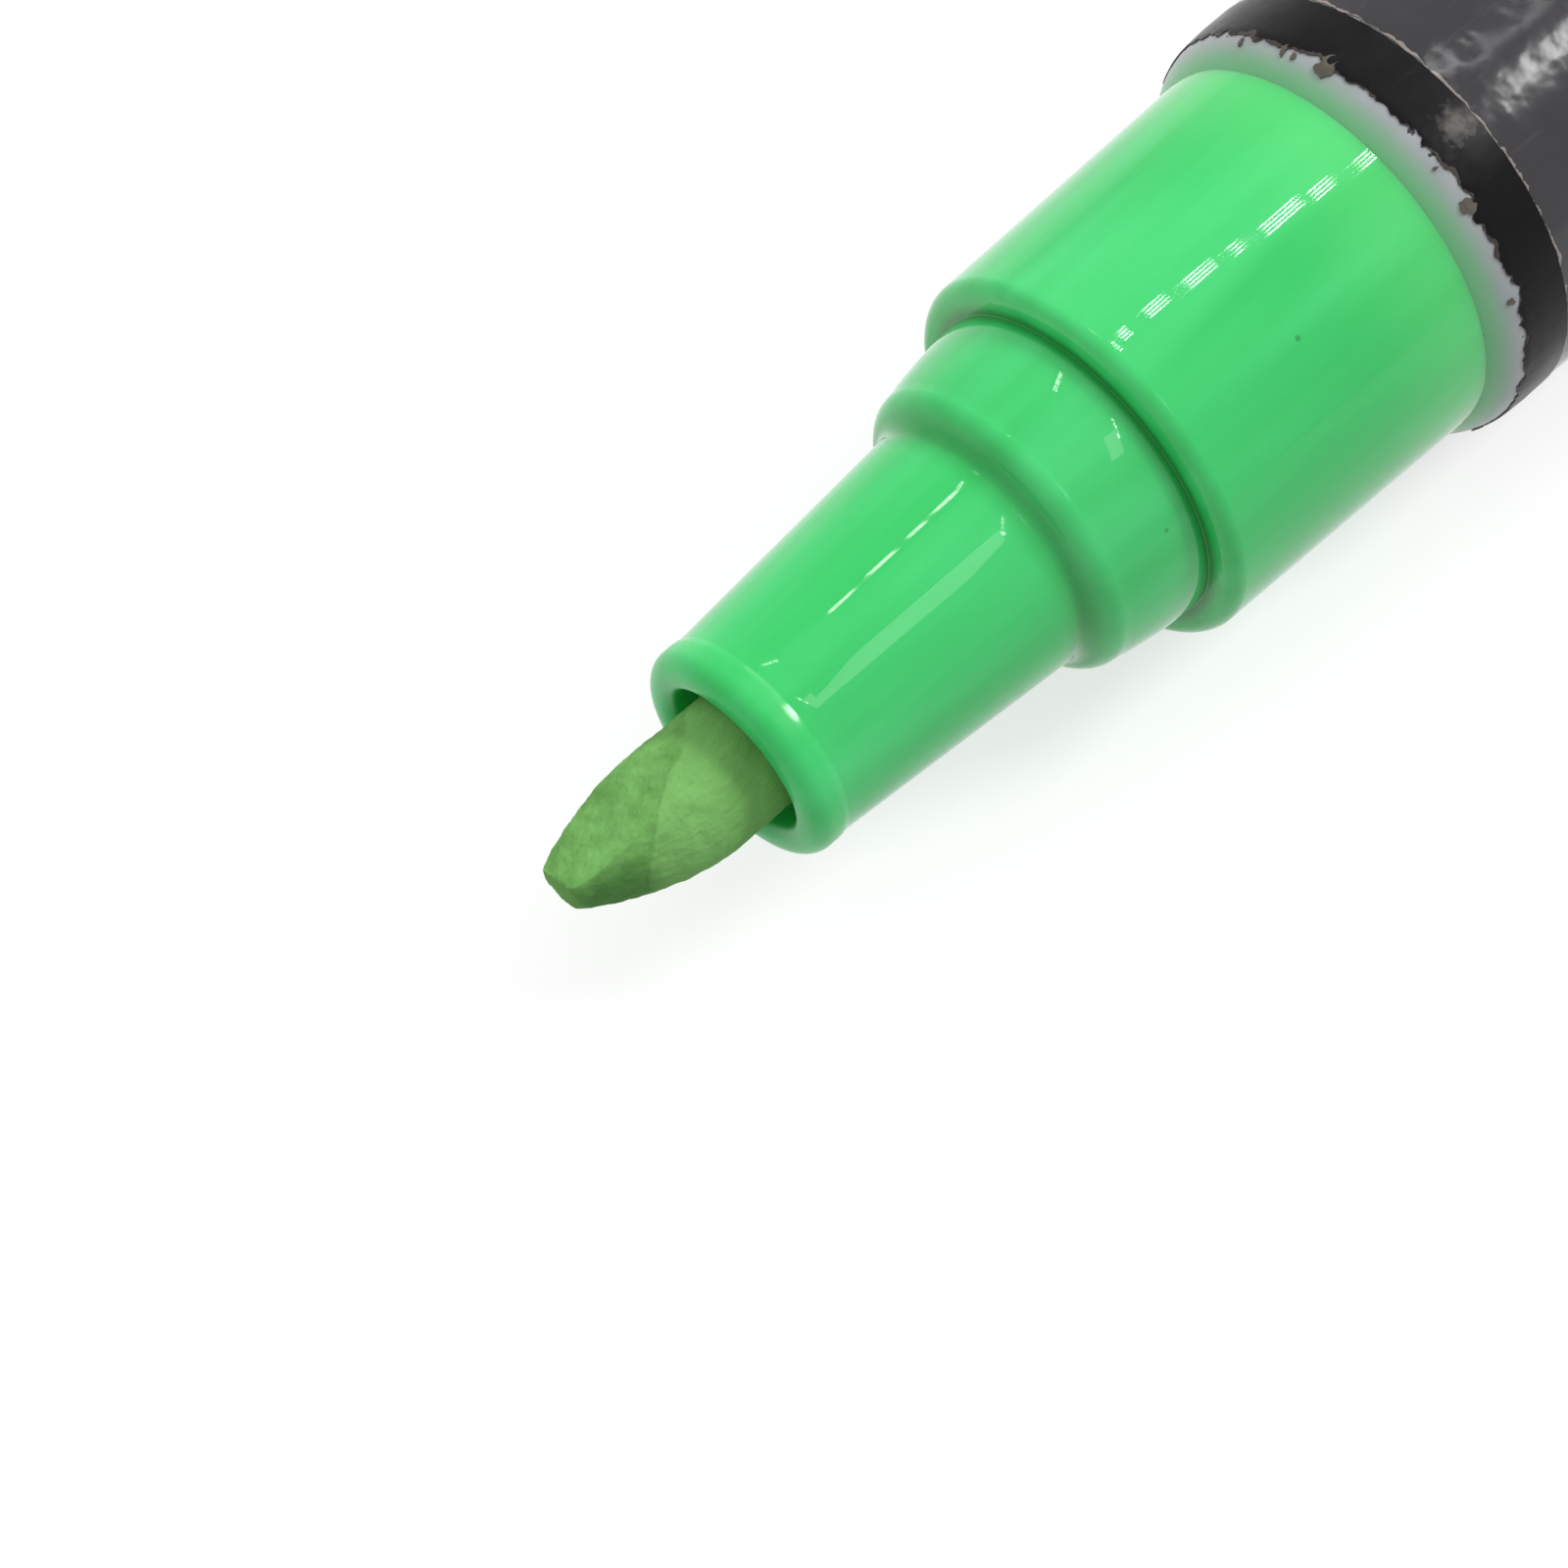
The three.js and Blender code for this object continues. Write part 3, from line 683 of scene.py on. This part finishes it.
# Nose: lip, cone, ring and body in one moulding, with ribs that centre the nib
LIP_LENGTH = 1.29
RING_ROUNDING = 0.778
RING_HOLLOW = 0.62
RING_STEPS = 12
RING_FULLNESS = 1.7
BODY_ROUNDING = 0.55
BODY_HOLLOW = 0.04
SKIRT_CHAMFER = 0.2
RIB_COUNT = 6
RIB_WIDTH = 0.9
RIB_SETBACK = 1.2
RIB_GAP = 0.09
RIB_CHAMFER = 0.15
RIB_ROOT = 0.5

# The small step behind the lip: place from its corner, and radius
LIP_STEP = ((-0.3, LIP_RADIUS), (-0.12, LIP_RADIUS - 0.01), (-0.03, CONE_FRONT_RADIUS + 0.008))


def nose():
    """The turned moulding, joined with its ribs one by one."""
    corner = LIP_FACE + LIP_LENGTH
    side_front, side_length = RING_FRONT + RING_ROUNDING, RING_REAR - RING_FRONT - RING_ROUNDING
    swell = RING_REAR_RADIUS - RING_FRONT_RADIUS
    ring_side = [
        (
            side_front + side_length * step / RING_STEPS,
            RING_REAR_RADIUS - swell * (1 - step / RING_STEPS) ** RING_FULLNESS,
        )
        for step in range(1, RING_STEPS)
    ]
    piece = turned("nose_moulding", [
        *arc(LIP_FACE + HOLE_ROUNDING, HOLE + HOLE_ROUNDING, HOLE_ROUNDING, 270, 180),
        *arc(LIP_FACE + LIP_ROUNDING, LIP_RADIUS - LIP_ROUNDING, LIP_ROUNDING, 180, 90, 12),
        *[(corner + behind, radius) for behind, radius in LIP_STEP],
        *along_line(
            (corner + 0.05, CONE_FRONT_RADIUS), (RING_FRONT - RING_HOLLOW, CONE_ROOT_RADIUS),
        ),
        *step_up(RING_FRONT, CONE_ROOT_RADIUS, RING_FRONT_RADIUS, RING_HOLLOW, RING_ROUNDING),
        *ring_side,
        *step_up(RING_REAR, RING_REAR_RADIUS, BODY_FRONT_RADIUS, BODY_HOLLOW, BODY_ROUNDING),
        *along_line((RING_REAR + 0.6, BODY_FRONT_RADIUS), (0, BODY_RADIUS)),
        (0, SKIRT_RADIUS),
        (SKIRT_END - SKIRT_CHAMFER, SKIRT_RADIUS),
        (SKIRT_END, SKIRT_RADIUS - SKIRT_CHAMFER),
        (SKIRT_END, THROAT_RADIUS),
        (THROAT_FRONT, THROAT_RADIUS),
        (THROAT_FRONT - THROAT_CONE, HOLE),
    ])
    rib_front, rib_rear = LIP_FACE + RIB_SETBACK, THROAT_FRONT - THROAT_CONE
    for index in range(RIB_COUNT):
        rib = slab("rib", [
            (rib_front, NIB_RADIUS + RIB_GAP + RIB_CHAMFER),
            (rib_front + RIB_CHAMFER, NIB_RADIUS + RIB_GAP),
            (rib_rear, NIB_RADIUS + RIB_GAP),
            (rib_rear, HOLE + RIB_ROOT),
            (rib_front, HOLE + RIB_ROOT),
        ], RIB_WIDTH, 360 * (index + 0.5) / RIB_COUNT)
        combine(piece, rib, "UNION")
    bpy.ops.object.shade_smooth_by_angle(angle=SMOOTH_ANGLE)
    return piece


seat(nose(), "pen", "nose_cone", GREEN)

# Barrel: a plain tube whose front edge rounds down to the nose
RIM_STEPS = 16
BARREL_ROWS = range(2, 90, 4)
BARREL_ROUNDING = 0.4
BARREL_SIDES = 256


def barrel():
    rim = []
    for step in range(RIM_STEPS + 1):
        rise = math.sin(step / RIM_STEPS * math.pi / 2) ** RIM_FULLNESS
        rim.append((RIM_LENGTH * step / RIM_STEPS, RIM_START + (BARREL_RADIUS - RIM_START) * rise))
    return turned("barrel_tube", [
        (0, BARREL_BORE),
        *rim,
        *[(along, BARREL_RADIUS) for along in BARREL_ROWS],
        *arc(BARREL_END - BARREL_ROUNDING, BARREL_RADIUS - BARREL_ROUNDING, BARREL_ROUNDING, 90, 0),
        (BARREL_END, BARREL_BORE),
    ], BARREL_SIDES)


BARREL = barrel()
seat(BARREL, "pen", "barrel", WHITE)

# Films: thin sleeves on the barrel, torn along their front edges, where a share of the thickness
# is left. A tear has a size and a depth
FILM_LIFT = 0.02
FILM_THICKNESS = 0.08
TORN_LENGTH = 1.0
TORN_SHARE = 0.3
TORN_ROWS = (0, 0.05, 0.1, 0.15, 0.22, 0.3, 0.4, 0.5, 0.65, 0.8, 1.0)
BAND_TEARS = ((2.4, 0.7), (0.6, 0.45), (0.2, 0.3))
LABEL_TEARS = ((1.6, 0.25), (0.35, 0.16))


def thicken(piece, thickness):
    """A Solidify modifier that adds the thickness outwards."""
    thick = piece.modifiers.new("thickness", "SOLIDIFY")
    thick.thickness = thickness * MM
    thick.offset = 1
    return thick


def stick(piece, thickness):
    """Lays a thin piece on the barrel and gives it its thickness."""
    wrap = piece.modifiers.new("wrap", "SHRINKWRAP")
    wrap.target = BARREL
    wrap.wrap_method = "NEAREST_SURFACEPOINT"
    wrap.wrap_mode = "OUTSIDE_SURFACE"
    wrap.offset = FILM_LIFT * MM
    return thicken(piece, thickness)


def sleeve(name, front, rear, tears):
    """A film round the barrel, whose front edge is torn and thins out."""
    rows = [(front + row, FILM_RADIUS) for row in TORN_ROWS]
    piece = turned(name, rows + [(rear, FILM_RADIUS)], FILM_SIDES, closed=False)
    start = place(front).x
    distances = [(vertex.co.x - start) / MM for vertex in piece.data.vertices]
    weigh(piece, "torn", lambda point: max(0.0, 1 - (point.x - start) / (TORN_LENGTH * MM)))
    edge = piece.data.attributes.new("from_edge", "FLOAT", "POINT")
    edge.data.foreach_set("value", distances)
    for size, depth in tears:
        displace(piece, size, depth, "torn", "X")
    thick = stick(piece, FILM_THICKNESS)
    thick.vertex_group = "torn"
    thick.invert_vertex_group = True
    thick.thickness_vertex_group = TORN_SHARE
    apply_all(piece)
    bpy.ops.object.shade_smooth_by_angle(angle=SMOOTH_ANGLE)
    return piece


band = sleeve("band_sleeve", BAND_FRONT, BAND_REAR, BAND_TEARS)
seat(band, "pen", "band_film", BLACK_FILM)
label = sleeve("label_sleeve", LABEL_FRONT, LABEL_REAR, LABEL_TEARS)
seat(label, "pen", "label_film", SLATE_FILM)

# Flakes of the band that tore off and stuck to the rim: along, angle, length and width
FLAKES = (
    (1.0, 11.6, 0.75, 0.95), (0.98, -35.5, 0.6, 0.6), (0.85, 24.0, 0.22, 0.5),
    (0.78, 20.5, 0.2, 0.3), (0.72, 38.0, 0.2, 0.36), (0.86, -24.0, 0.14, 0.2),
    (0.9, -62.0, 0.25, 0.3), (1.0, 95.0, 0.3, 0.5), (0.9, 150.0, 0.4, 0.6),
    (0.95, -120.0, 0.5, 0.4),
)
FLAKE_CORNERS = 24
FLAKE_THICKNESS = 0.04

# Their ragged edge: waves round it, the range of their heights, and how far it is drawn in
FLAKE_WAVES = (2, 3, 5, 8)
FLAKE_HEIGHTS = (0.06, 0.14)
FLAKE_DRAWN_IN = 0.1


def flakes():
    """Small discs with wavy edges, joined to one piece and laid on the rim."""
    chance = random.Random(7)
    pieces = []
    for along, angle, length, width in FLAKES:
        middle = place(along, BARREL_RADIUS, angle)
        bpy.ops.object.select_all(action="DESELECT")
        bpy.ops.mesh.primitive_circle_add(
            vertices=FLAKE_CORNERS, radius=0.5 * MM, fill_type="TRIFAN", location=middle,
            rotation=outward(angle).to_track_quat("Z", "X").to_euler(),
        )
        flake = bpy.context.active_object
        flake.scale = (length, width, 1)
        bpy.ops.object.transform_apply(location=True, rotation=True, scale=True)
        waves = [
            (count, chance.uniform(*FLAKE_HEIGHTS), chance.uniform(0, math.tau))
            for count in FLAKE_WAVES
        ]
        for index, vertex in enumerate(flake.data.vertices):
            turn = math.tau * index / FLAKE_CORNERS
            torn = sum(height * math.sin(count * turn + shift) for count, height, shift in waves)
            vertex.co += (vertex.co - middle) * (torn - FLAKE_DRAWN_IN)
        pieces.append(flake)
    make_active(pieces[0])
    for flake in pieces:
        flake.select_set(True)
    bpy.ops.object.join()
    piece = bpy.context.active_object
    piece.name = piece.data.name = "band_flakes"
    stick(piece, FLAKE_THICKNESS)
    apply_all(piece)
    return piece


loose = flakes()
coat(loose, FLAKE_FILM)
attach(loose, "pen")

# Label lap: the strip along which the label's end lies over its start
LAP_ANGLE = 150
LAP_WIDTH = 24
LAP_SETBACK = 0.1
LAP_RADIUS = FILM_RADIUS + 0.07
LAP_THICKNESS = 0.05
LAP_SIDES = 12


def label_lap():
    """A narrow strip of film on the label."""
    edges = [(LABEL_FRONT + LAP_SETBACK, LAP_RADIUS), (LABEL_REAR - LAP_SETBACK, LAP_RADIUS)]
    piece = turned("label_lap", edges, LAP_SIDES, closed=False, start=LAP_ANGLE, sweep=LAP_WIDTH)
    thicken(piece, LAP_THICKNESS)
    apply_all(piece)
    return piece


lap = label_lap()
coat(lap, SLATE_FILM)
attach(lap, "pen")

# Tail plug: a skirt in the barrel and a stub of the nose's size, with a bead that grips the cap
PLUG_FRONT, PLUG_END = reach("tail_plug")
STUB_RADIUS = 6.99
STUB_FRONT = BARREL_END + 0.05
STUB_ROUNDING = 0.5
PLUG_BORE = 5.15
PLUG_FLOOR = PLUG_END - 1.4
BEAD_PLACE = BARREL_END + 2.2
BEAD_ROUNDING = 0.6

# The plug's end: a low collar and a middle pip. How far before the end, and the radius there
PLUG_FACE = ((0, 3.2), (0.15, 3.0), (0.15, 0.8), (0.02, 0.6), (0.02, 0))


def tail_plug():
    return turned("tail_plug_moulding", [
        (PLUG_FLOOR, 0),
        (PLUG_FLOOR, PLUG_BORE - 0.3),
        (PLUG_FLOOR - 0.3, PLUG_BORE),
        (PLUG_FRONT, PLUG_BORE),
        (PLUG_FRONT, SKIRT_RADIUS - 0.25),
        (PLUG_FRONT + 0.4, SKIRT_RADIUS),
        (STUB_FRONT, SKIRT_RADIUS),
        (STUB_FRONT, STUB_RADIUS - 0.1),
        (STUB_FRONT + 0.1, STUB_RADIUS),
        *arc(BEAD_PLACE, STUB_RADIUS - 0.55, BEAD_ROUNDING, 115, 65),
        (PLUG_END - 2.6, STUB_RADIUS),
        *arc(PLUG_END - STUB_ROUNDING, STUB_RADIUS - STUB_ROUNDING, STUB_ROUNDING, 90, 0),
        *[(PLUG_END - before, radius) for before, radius in PLUG_FACE],
    ], closed=False)


seat(tail_plug(), "pen", "tail_plug", GREEN)

# Cap: a plain tube closed at its end, with grip grooves and the boss for the clip
CAP_MOUTH, CAP_END = reach("cap_shell")
CAP_RADIUS = 7.8
CAP_ROUNDING = 1.1
CAP_SOCKET = 7.14
CAP_BORE = 6.24
CAP_FLOOR = CAP_END - 2
MOUTH_ROUNDING = 0.25
LINER_MOUTH, LINER_END = reach("cap_liner")
SOCKET_END = LINER_MOUTH + 1.1
BOSS_TOP = CAP_RADIUS + 3.4
BOSS_ROOT = CAP_RADIUS - 0.7
BOSS_WIDTH = 6.4
BOSS_REAR = CAP_END - 1
BOSS_FRONT = BOSS_REAR - 8
BOSS_CORNER = 1.8
BOSS_ROUNDING = 0.7
CLIP_ANGLE = 180 - math.degrees(
    math.acos(CAP_RADIUS / math.hypot(BOSS_TOP, BOSS_WIDTH / 2))
    + math.atan2(BOSS_WIDTH / 2, BOSS_TOP)
)
TONGUE_TOP = BOSS_TOP - 1.05
TONGUE_BOTTOM = TONGUE_TOP - 1.2
TILT_GAP = 0.25
TONGUE_LENGTH = 4.2
TONGUE_WIDTH = 4.2

# Grip grooves: the place of the first from the mouth, their pitch and number, and the section of
# one, as place from its middle and depth
FIRST_GROOVE = 2.2
GROOVE_PITCH = 1.4
GROOVE_COUNT = 5
GROOVE = ((-0.45, 0), (-0.3, 0.04), (-0.15, 0.1), (0, 0.12), (0.15, 0.1), (0.3, 0.04), (0.45, 0))

# The dimple in the cap's end where the plastic entered the mould: depth and radius
DIMPLE = ((0, 1.45), (0.04, 1.3), (0.16, 1.22), (0.18, 1.1), (0.18, 0.1), (0.18, 0))


def cap_shell():
    """The turned cap with its boss joined on, and the pocket for the clip's tongue cut out."""
    grooves = [
        (CAP_MOUTH + FIRST_GROOVE + GROOVE_PITCH * index + aside, CAP_RADIUS - depth)
        for index in range(GROOVE_COUNT) for aside, depth in GROOVE
    ]
    piece = turned("cap_moulding", [
        (CAP_FLOOR, 0),
        (CAP_FLOOR, CAP_BORE - 0.3),
        (CAP_FLOOR - 0.3, CAP_BORE),
        (SOCKET_END, CAP_BORE),
        (SOCKET_END, CAP_SOCKET),
        (CAP_MOUTH + 0.3, CAP_SOCKET),
        (CAP_MOUTH, CAP_SOCKET + 0.12),
        *arc(CAP_MOUTH + MOUTH_ROUNDING, CAP_RADIUS - MOUTH_ROUNDING, MOUTH_ROUNDING, 180, 90),
        *grooves,
        *arc(CAP_END - CAP_ROUNDING, CAP_RADIUS - CAP_ROUNDING, CAP_ROUNDING, 90, 0, 12),
        (CAP_END, CAP_RADIUS - 1.3),
        *[(CAP_END - depth, radius) for depth, radius in DIMPLE],
    ], closed=False)
    boss = slab("boss", [
        (BOSS_FRONT, BOSS_ROOT),
        (BOSS_REAR, BOSS_ROOT),
        *arc(BOSS_REAR - BOSS_CORNER, BOSS_TOP - BOSS_CORNER, BOSS_CORNER, 0, 90),
        (BOSS_FRONT, BOSS_TOP),
    ], BOSS_WIDTH, CLIP_ANGLE)
    soften(boss, BOSS_ROUNDING, 5)
    pocket = slab("pocket", [
        (BOSS_FRONT - 1, TONGUE_BOTTOM - TILT_GAP),
        (BOSS_FRONT + TONGUE_LENGTH + TILT_GAP, TONGUE_BOTTOM - TILT_GAP),
        (BOSS_FRONT + TONGUE_LENGTH + TILT_GAP, TONGUE_TOP + TILT_GAP),
        (BOSS_FRONT - 1, TONGUE_TOP + TILT_GAP),
    ], TONGUE_WIDTH + 2 * TILT_GAP, CLIP_ANGLE)
    combine(piece, boss, "UNION")
    combine(piece, pocket, "DIFFERENCE")
    bpy.ops.object.shade_smooth_by_angle(angle=SMOOTH_ANGLE)
    return piece


seat(cap_shell(), "cap", "cap_shell", GREEN)

# Cap liner: a soft cup with two sealing beads inside its mouth
LINER_RADIUS = CAP_BORE - 0.05
LINER_WALL = 0.5
LINER_FLOOR = LINER_END - 0.8
LINER_BEADS = (2.4, 1.2)
LINER_BEAD_RADIUS = 0.28
LINER_SIDES = 128


def cap_liner():
    inner = LINER_RADIUS - LINER_WALL
    beads = [
        point for behind in LINER_BEADS
        for point in arc(LINER_MOUTH + behind, inner + 0.2, LINER_BEAD_RADIUS, 315, 225, 6)
    ]
    return turned("liner_moulding", [
        (LINER_FLOOR, 0),
        (LINER_FLOOR, inner - 0.4),
        (LINER_FLOOR - 0.4, inner),
        *beads,
        (LINER_MOUTH + 0.25, inner),
        (LINER_MOUTH, inner + 0.2),
        (LINER_MOUTH, LINER_RADIUS - 0.1),
        (LINER_MOUTH + 0.1, LINER_RADIUS),
        (LINER_END - 0.3, LINER_RADIUS),
        (LINER_END, LINER_RADIUS - 0.3),
        (LINER_END, 0),
    ], LINER_SIDES, closed=False)


seat(cap_liner(), "cap", "cap_liner", NATURAL)

# Clip: a springy arm on a tongue, with a rounded bead under its free end
ARM_LENGTH = 25
ARM_WIDTH = 5
ARM_THICKNESS = 1.3
ARM_TOP = BOSS_TOP - 0.2
ARM_ROUNDING = 0.25
TONGUE_SLOPE_FRONT = 3
TONGUE_SLOPE_REAR = 1.3
CLIP_BEAD_HALF = 2
CLIP_BEAD_GAP = 0.3
CLIP_BEAD_STEPS = 16


def cap_clip():
    arm_rear = BOSS_FRONT - TILT_GAP
    arm_front = arm_rear - ARM_LENGTH
    arm_bottom = ARM_TOP - ARM_THICKNESS
    tongue_rear = arm_rear + TILT_GAP + TONGUE_LENGTH
    bead_depth = arm_bottom - (CAP_RADIUS + CLIP_BEAD_GAP)
    turns = [math.pi * step / CLIP_BEAD_STEPS for step in range(CLIP_BEAD_STEPS + 1)]
    bead = [
        (
            arm_front + CLIP_BEAD_HALF - CLIP_BEAD_HALF * math.cos(turn),
            arm_bottom - bead_depth * math.sin(turn),
        )
        for turn in turns
    ]
    piece = slab("clip_moulding", [
        *bead,
        (arm_rear - TONGUE_SLOPE_FRONT, arm_bottom),
        (arm_rear - TONGUE_SLOPE_REAR, TONGUE_BOTTOM),
        (tongue_rear, TONGUE_BOTTOM),
        (tongue_rear, TONGUE_TOP),
        (arm_rear, TONGUE_TOP),
        (arm_rear, ARM_TOP),
        *arc(arm_front + ARM_THICKNESS, ARM_TOP - ARM_THICKNESS, ARM_THICKNESS, 90, 180)[:-1],
    ], ARM_WIDTH, CLIP_ANGLE)
    soften(piece, ARM_ROUNDING)
    return piece


seat(cap_clip(), "clip", "cap_clip", GREEN)

# Valve spring: a wire wound with closed ends, which the stem presses together
SPRING_FRONT, SPRING_REAR = reach("valve_spring")
WIRE_RADIUS = 0.225
WIRE_SIDES = 14
COIL_RADIUS = 1.995
COIL_STEPS = 32
ACTIVE_TURNS = 5
CLOSED_TURNS = 0.75
CLOSED_PITCH = 2 * WIRE_RADIUS * 1.04


def valve_spring():
    """The wire's round end, extruded and turned step by step along the coil."""
    first, last = SPRING_FRONT + WIRE_RADIUS, SPRING_REAR - WIRE_RADIUS
    turns = ACTIVE_TURNS + 2 * CLOSED_TURNS
    closed_rise = CLOSED_TURNS * CLOSED_PITCH
    active_rise = last - first - 2 * closed_rise

    def along(turn):
        if turn < CLOSED_TURNS:
            return first + closed_rise * turn / CLOSED_TURNS
        if turn > turns - CLOSED_TURNS:
            return last - closed_rise * (turns - turn) / CLOSED_TURNS
        return first + closed_rise + active_rise * (turn - CLOSED_TURNS) / ACTIVE_TURNS

    bpy.ops.object.select_all(action="DESELECT")
    bpy.ops.mesh.primitive_circle_add(
        vertices=WIRE_SIDES, radius=WIRE_RADIUS * MM, fill_type="NGON",
        location=place(first, COIL_RADIUS), rotation=(math.pi / 2, 0, 0),
    )
    piece = bpy.context.active_object
    piece.name = piece.data.name = "spring_wire"
    bpy.ops.object.transform_apply(location=True, rotation=True, scale=True)
    bpy.ops.object.mode_set(mode="EDIT")
    bpy.ops.mesh.select_all(action="SELECT")
    for step in range(int(turns * COIL_STEPS)):
        rise = along((step + 1) / COIL_STEPS) - along(step / COIL_STEPS)
        bpy.ops.mesh.extrude_region_move(TRANSFORM_OT_translate={"value": ALONG * rise * MM})
        bpy.ops.transform.rotate(
            value=math.tau / COIL_STEPS, orient_axis="X", center_override=place(0),
        )
    return close_up(piece)


spring = valve_spring()
seat(spring, "pen", "valve_spring", SPRING_STEEL)
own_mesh(spring)

# The inner pieces keep their CAD shapes and get their own finishes
for name, finish in (
    ("valve_housing", NATURAL), ("valve_seat", RUBBER), ("valve_stem", ACETAL),
    ("valve_cover", NATURAL), ("mixing_ball", BALL_STEEL),
):
    coat(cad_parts[name], finish)


def seen_directly(tree):
    """1 for rays that show a thing to the camera: straight, in a gloss or through something."""
    rays = node(tree, "ShaderNodeLightPath").outputs
    straight = maths(tree, "MAXIMUM", rays["Is Camera Ray"], rays["Is Glossy Ray"])
    return maths(tree, "MAXIMUM", straight, rays["Is Transmission Ray"])


# Floor, which is seen as white where nothing shades it
FLOOR_SIZE = 6
FLOOR_DROP = 0.02
FLOOR_GLOW = 0.66

bpy.ops.object.select_all(action="DESELECT")
bpy.ops.mesh.primitive_plane_add(size=FLOOR_SIZE, location=(0, 0, -FLOOR_DROP * MM))
floor = bpy.context.active_object
floor.name = "floor"
paper = bpy.data.materials.new("pale_floor")
paper.use_nodes = True
tree = paper.node_tree
tree.nodes.clear()
bright = maths(tree, "MULTIPLY", seen_directly(tree), FLOOR_GLOW)
diffuse = node(tree, "ShaderNodeBsdfDiffuse", {"Color": colour("B4B4B4")})
glow = node(tree, "ShaderNodeEmission", {"Color": (1, 1, 1, 1), "Strength": bright})
both = node(tree, "ShaderNodeAddShader", {0: diffuse.outputs[0], 1: glow.outputs[0]})
node(tree, "ShaderNodeOutputMaterial", {0: both.outputs[0]})
floor.data.materials.append(paper)

# World: white where it is seen, and a soft fill on the object, strongest from above on its +Y side
FILL_FROM = Vector((-0.05, 0.72, 0.6))
FILL_WEAK = 0.27
FILL_STRONG = 0.89

world = bpy.data.worlds.new("world")
bpy.context.scene.world = world
world.use_nodes = True
tree = world.node_tree
tree.nodes.clear()
direction = node(tree, "ShaderNodeTexCoord").outputs["Generated"]
toward = vector_maths(tree, "DOT_PRODUCT", direction, FILL_FROM)["Value"]
fill = ramp(tree, toward, -0.5, 1, FILL_WEAK, FILL_STRONG)
strength = node(
    tree, "ShaderNodeMix",
    {FACTOR: seen_directly(tree), FIRST_NUMBER: fill, SECOND_NUMBER: 1.0},
)
sky = node(tree, "ShaderNodeBackground", {"Color": (1, 1, 1, 1), "Strength": strength.outputs[0]})
node(tree, "ShaderNodeOutputWorld", {0: sky.outputs[0]})


def lamp(name, first, last, width, radiance, aim):
    """A strip lamp a metre from aim that faces it, and reaches from one direction to another."""
    ends = [aim + Vector(direction).normalized() for direction in (first, last)]
    middle = (ends[0] + ends[1]) / 2
    data = bpy.data.lights.new(name, "AREA")
    data.shape = "RECTANGLE"
    data.size = (ends[1] - ends[0]).length
    data.size_y = width
    data.energy = radiance * math.pi * data.size * data.size_y
    made = bpy.data.objects.new(name, data)
    bpy.context.scene.collection.objects.link(made)
    made.location = middle
    back = (middle - aim).normalized()
    across = back.cross(ends[1] - ends[0]).normalized()
    axes = Matrix((across.cross(back), across, back)).transposed()
    made.rotation_mode = "QUATERNION"
    made.rotation_quaternion = axes.to_quaternion()
    made.visible_camera = False


# Lamps: a broad key from behind the tail, two panels that the films reflect, and one that the cone
# does. Directions of the two ends, width, radiance, and the place along the pen that it is aimed at
LAMPS = (
    ("key", (0.92, 0.2, 0.4), (0.62, 0.25, 0.74), 0.7, 2.8, -8),
    ("film_panel", (0.55, -0.32, 0.77), (0.68, -0.32, 0.66), 0.24, 26, 5),
    ("film_edge", (0.475, -0.3, 0.828), (0.575, -0.3, 0.761), 0.19, 11, 5),
    ("cone_panel", (0.265, -0.455, 0.85), (0.2, -0.455, 0.87), 0.24, 2.4, -21),
)
for name, first, last, width, radiance, along in LAMPS:
    lamp(name, first, last, width, radiance, place(along))

# Rows of fine tubes that draw the broken streaks: the stretches of each row that shine, as shares
# of its length, and then the directions of its ends, its stretches, the tubes side by side, and
# their pitch, width, radiance and aim
FILM_ROW = ((0.1, 0.19), (0.25, 0.33), (0.39, 0.62), (0.68, 0.78), (0.86, 1))
BODY_ROW = ((0, 0.08), (0.2, 0.3), (0.33, 0.53), (0.57, 0.65), (0.69, 0.84), (0.87, 0.98))
LEFT_ROW = (
    (0, 0.09), (0.12, 0.24), (0.28, 0.34), (0.4, 0.56), (0.6, 0.66), (0.73, 0.84), (0.9, 1),
)
RIGHT_ROW = ((0, 0.16), (0.22, 0.46), (0.52, 0.6), (0.7, 1))
ROWS = (
    ("film", (0.56, -0.09, 0.825), (0.47, 0, 0.88), FILM_ROW, 2, 0.03, 0.01, 16, -5),
    ("body", (0.4515, -0.024, 0.892), (0.39, 0.225, 0.893), BODY_ROW, 4, 0.03, 0.016, 24, -5),
    ("cone_left", (0.305, 0.43, 0.85), (0.225, 0.34, 0.914), LEFT_ROW, 2, 0.026, 0.016, 24, -20),
    ("cone_right", (0.3, -0.25, 0.92), (0.262, -0.44, 0.86), RIGHT_ROW, 2, 0.028, 0.016, 24, -17),
)
for name, first, last, dashes, beside, pitch, width, radiance, along in ROWS:
    first, last = Vector(first), Vector(last)
    for index, (start, end) in enumerate(dashes):
        middle = first.lerp(last, (start + end) / 2)
        half = ALONG * (last.x - first.x) * (end - start) / 2
        across = ALONG.cross(middle).normalized() * pitch
        for side in range(beside):
            spot = middle + across * (side - (beside - 1) / 2)
            lamp(f"{name}_{index}_{side}", spot - half, spot + half, width, radiance, place(along))

bpy.context.scene.view_settings.view_transform = "Standard"
